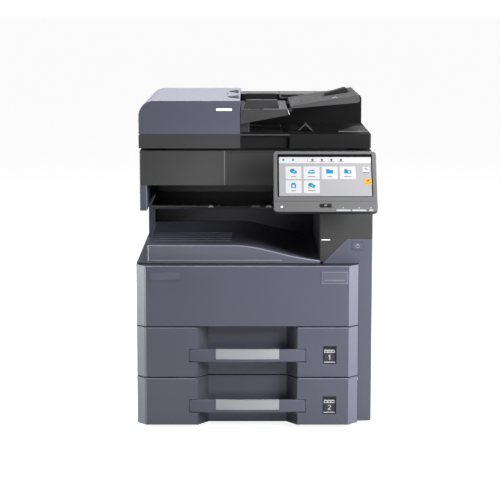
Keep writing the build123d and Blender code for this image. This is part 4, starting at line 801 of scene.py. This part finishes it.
outputSpace = {
    "backFace": 181.1, "trayEdge": -126.0,
    # black sheets behind the slots and louvres, painted shade seen through them
    "shadeBackings": {"slot": (-228, 470.8, 92, 18, 2), "louvre": (117, 444.8, 52, 42, 2)},
    "fingers": ((-116, 14), (0, 26), (34, 16), (128, 20)),  # middle and width of each exit finger
    "rollers": 6, "firstRoller": 20, "rollerPitch": 24,
}


def makeOutputSpace():
    back = atDepth(outputSpace["backFace"])
    for name, box in outputSpace["shadeBackings"].items():
        cutOut("cavity_shade_backing_" + name, roundedBox(*box), back, -1.6, 0.0, "mouldedBlackAbs", "cabinet",
               0.2)
    edge = atDepth(outputSpace["trayEdge"])
    # a grey strip along the inner tray's front edge, a painted highlight
    cutOut("inner_tray_edge_highlight", roundedBox(-190, 544.0, 160, 2.0, 0.8), edge, -0.6, 0.5, "mouldedMidGreyAbs",
           "cabinet", 0.2)
    for k, (x, wide) in enumerate(outputSpace["fingers"]):
        cutOut(f"exit_finger_{k}",
               [(x - wide / 2, 541), (x + wide / 2, 541), (x + wide / 2 - 3, 546.5),
                (x - wide / 2 + 4, 546.5)], atDepth(-126.3), -0.4, 1.2,
               "mouldedMidGreyAbs" if k % 2 else "mouldedPaleGreyAbs", "cabinet", 0.3)
    cutOut("exit_wedge", [(40, 546), (64, 546), (58, 560), (44, 556)], atDepth(-96.0), -18, 0,
           "mouldedMidGreyAbs", "cabinet", 0.8)
    # a pale strip along the rounded foot of the tray's lip, a painted reflection
    cutOut("lip_highlight", roundedBox(-105, 424.6, 340, 1.8, 0.7), atDepth(tower["face"]), -0.4, 0.7,
           "mouldedLightGreyAbs", "cabinet", 0.3)
    for k in range(outputSpace["rollers"]):  # idle rollers of the paper exit
        x = outputSpace["firstRoller"] + outputSpace["rollerPitch"] * k
        cutOut(f"exit_roller_{k}", ellipse(x, 512, 9, 9, 18), atDepth(176.0), 0, 6.0, "mouldedBlackAbs",
               "cabinet", 0.8)


makeTower()
makeOutputSpace()
print("tower and output space detailed")

plates = {"face": -302.8, "badge": (-228.0, 387.3, 76.0, 18.0), "name": (197.0, 387.3, 66.0, 31.0)}


def makePlates():
    face = atDepth(plates["face"])
    for name in ("badge", "name"):
        x, z, wide, tall = plates[name]
        cutOut(f"cover_{name}_rim", roundedBox(x, z, wide - 1.0, tall - 1.0, 1.4), face, -0.2, 0.2,
               "spraySilverPaintedAbs" if name == "name" else "mouldedMidGreyAbs", "front_cover",
               0.06, [roundedBox(x, z, wide - 2.4, tall - 2.4, 1.0)])
    x, z, wide, tall = plates["name"]
    cutOut("cover_name_line", roundedBox(x, z - tall * 0.18, wide - 12, 0.9, 0.4), face, -0.1, 0.15,
           "spraySilverPaintedAbs", "front_cover", 0.04)


makePlates()
print("plates made")

screws = {
    "face": 342.0, "recess": 1.6, "acrossX": (-282.0, 276.0), "firstZ": 40.0, "pitchZ": 178.0, "rows": 4,
    "crown": ((4.4, 0.0), (4.4, 0.5), (3.6, 1.1), (2.0, 1.4)),  # radius and height of each ring of a head
    "sides": 24, "cross": (5.0, 1.1),
}


def makeScrew(name, x, z):
    # a crowned head, sunk in its recess, with a dark cross laid on it as painted shade of the cross recess
    shape = bmesh.new()
    sides = screws["sides"]
    made = []
    for radius, height in screws["crown"]:
        turns = [2 * pi * k / sides for k in range(sides)]
        made.append([shape.verts.new((radius * cos(turn), radius * sin(turn), height)) for turn in turns])
    for lower, upper in zip(made, made[1:]):
        for k in range(sides):
            shape.faces.new((lower[k - 1], lower[k], upper[k], upper[k - 1]))
    shape.faces.new(made[-1])
    shape.faces.new(list(reversed(made[0])))
    bmesh.ops.recalc_face_normals(shape, faces=shape.faces)
    place = plane((x, screws["face"] - screws["recess"], z), (-1, 0, 0), (0, 0, 1))
    shape.transform(Matrix.Scale(mm, 4) @ place)
    mesh = bpy.data.meshes.new(name)
    shape.to_mesh(mesh)
    shape.free()
    link(name, mesh, "hotDippedZincSteel", "cabinet")
    long, narrow = screws["cross"]
    for turn, size in (("a", (long, narrow)), ("b", (narrow, long))):
        cutOut(f"{name}_cross_{turn}", roundedBox(0, 0, *size, 0.4), place, 1.25, 1.5, "mouldedBlackAbs",
               "cabinet", 0)


for column, x in enumerate(screws["acrossX"]):
    for row in range(screws["rows"]):
        makeScrew(f"rear_screw_{column}_{row}", x, screws["firstZ"] + screws["pitchZ"] * row)
print("screws made")
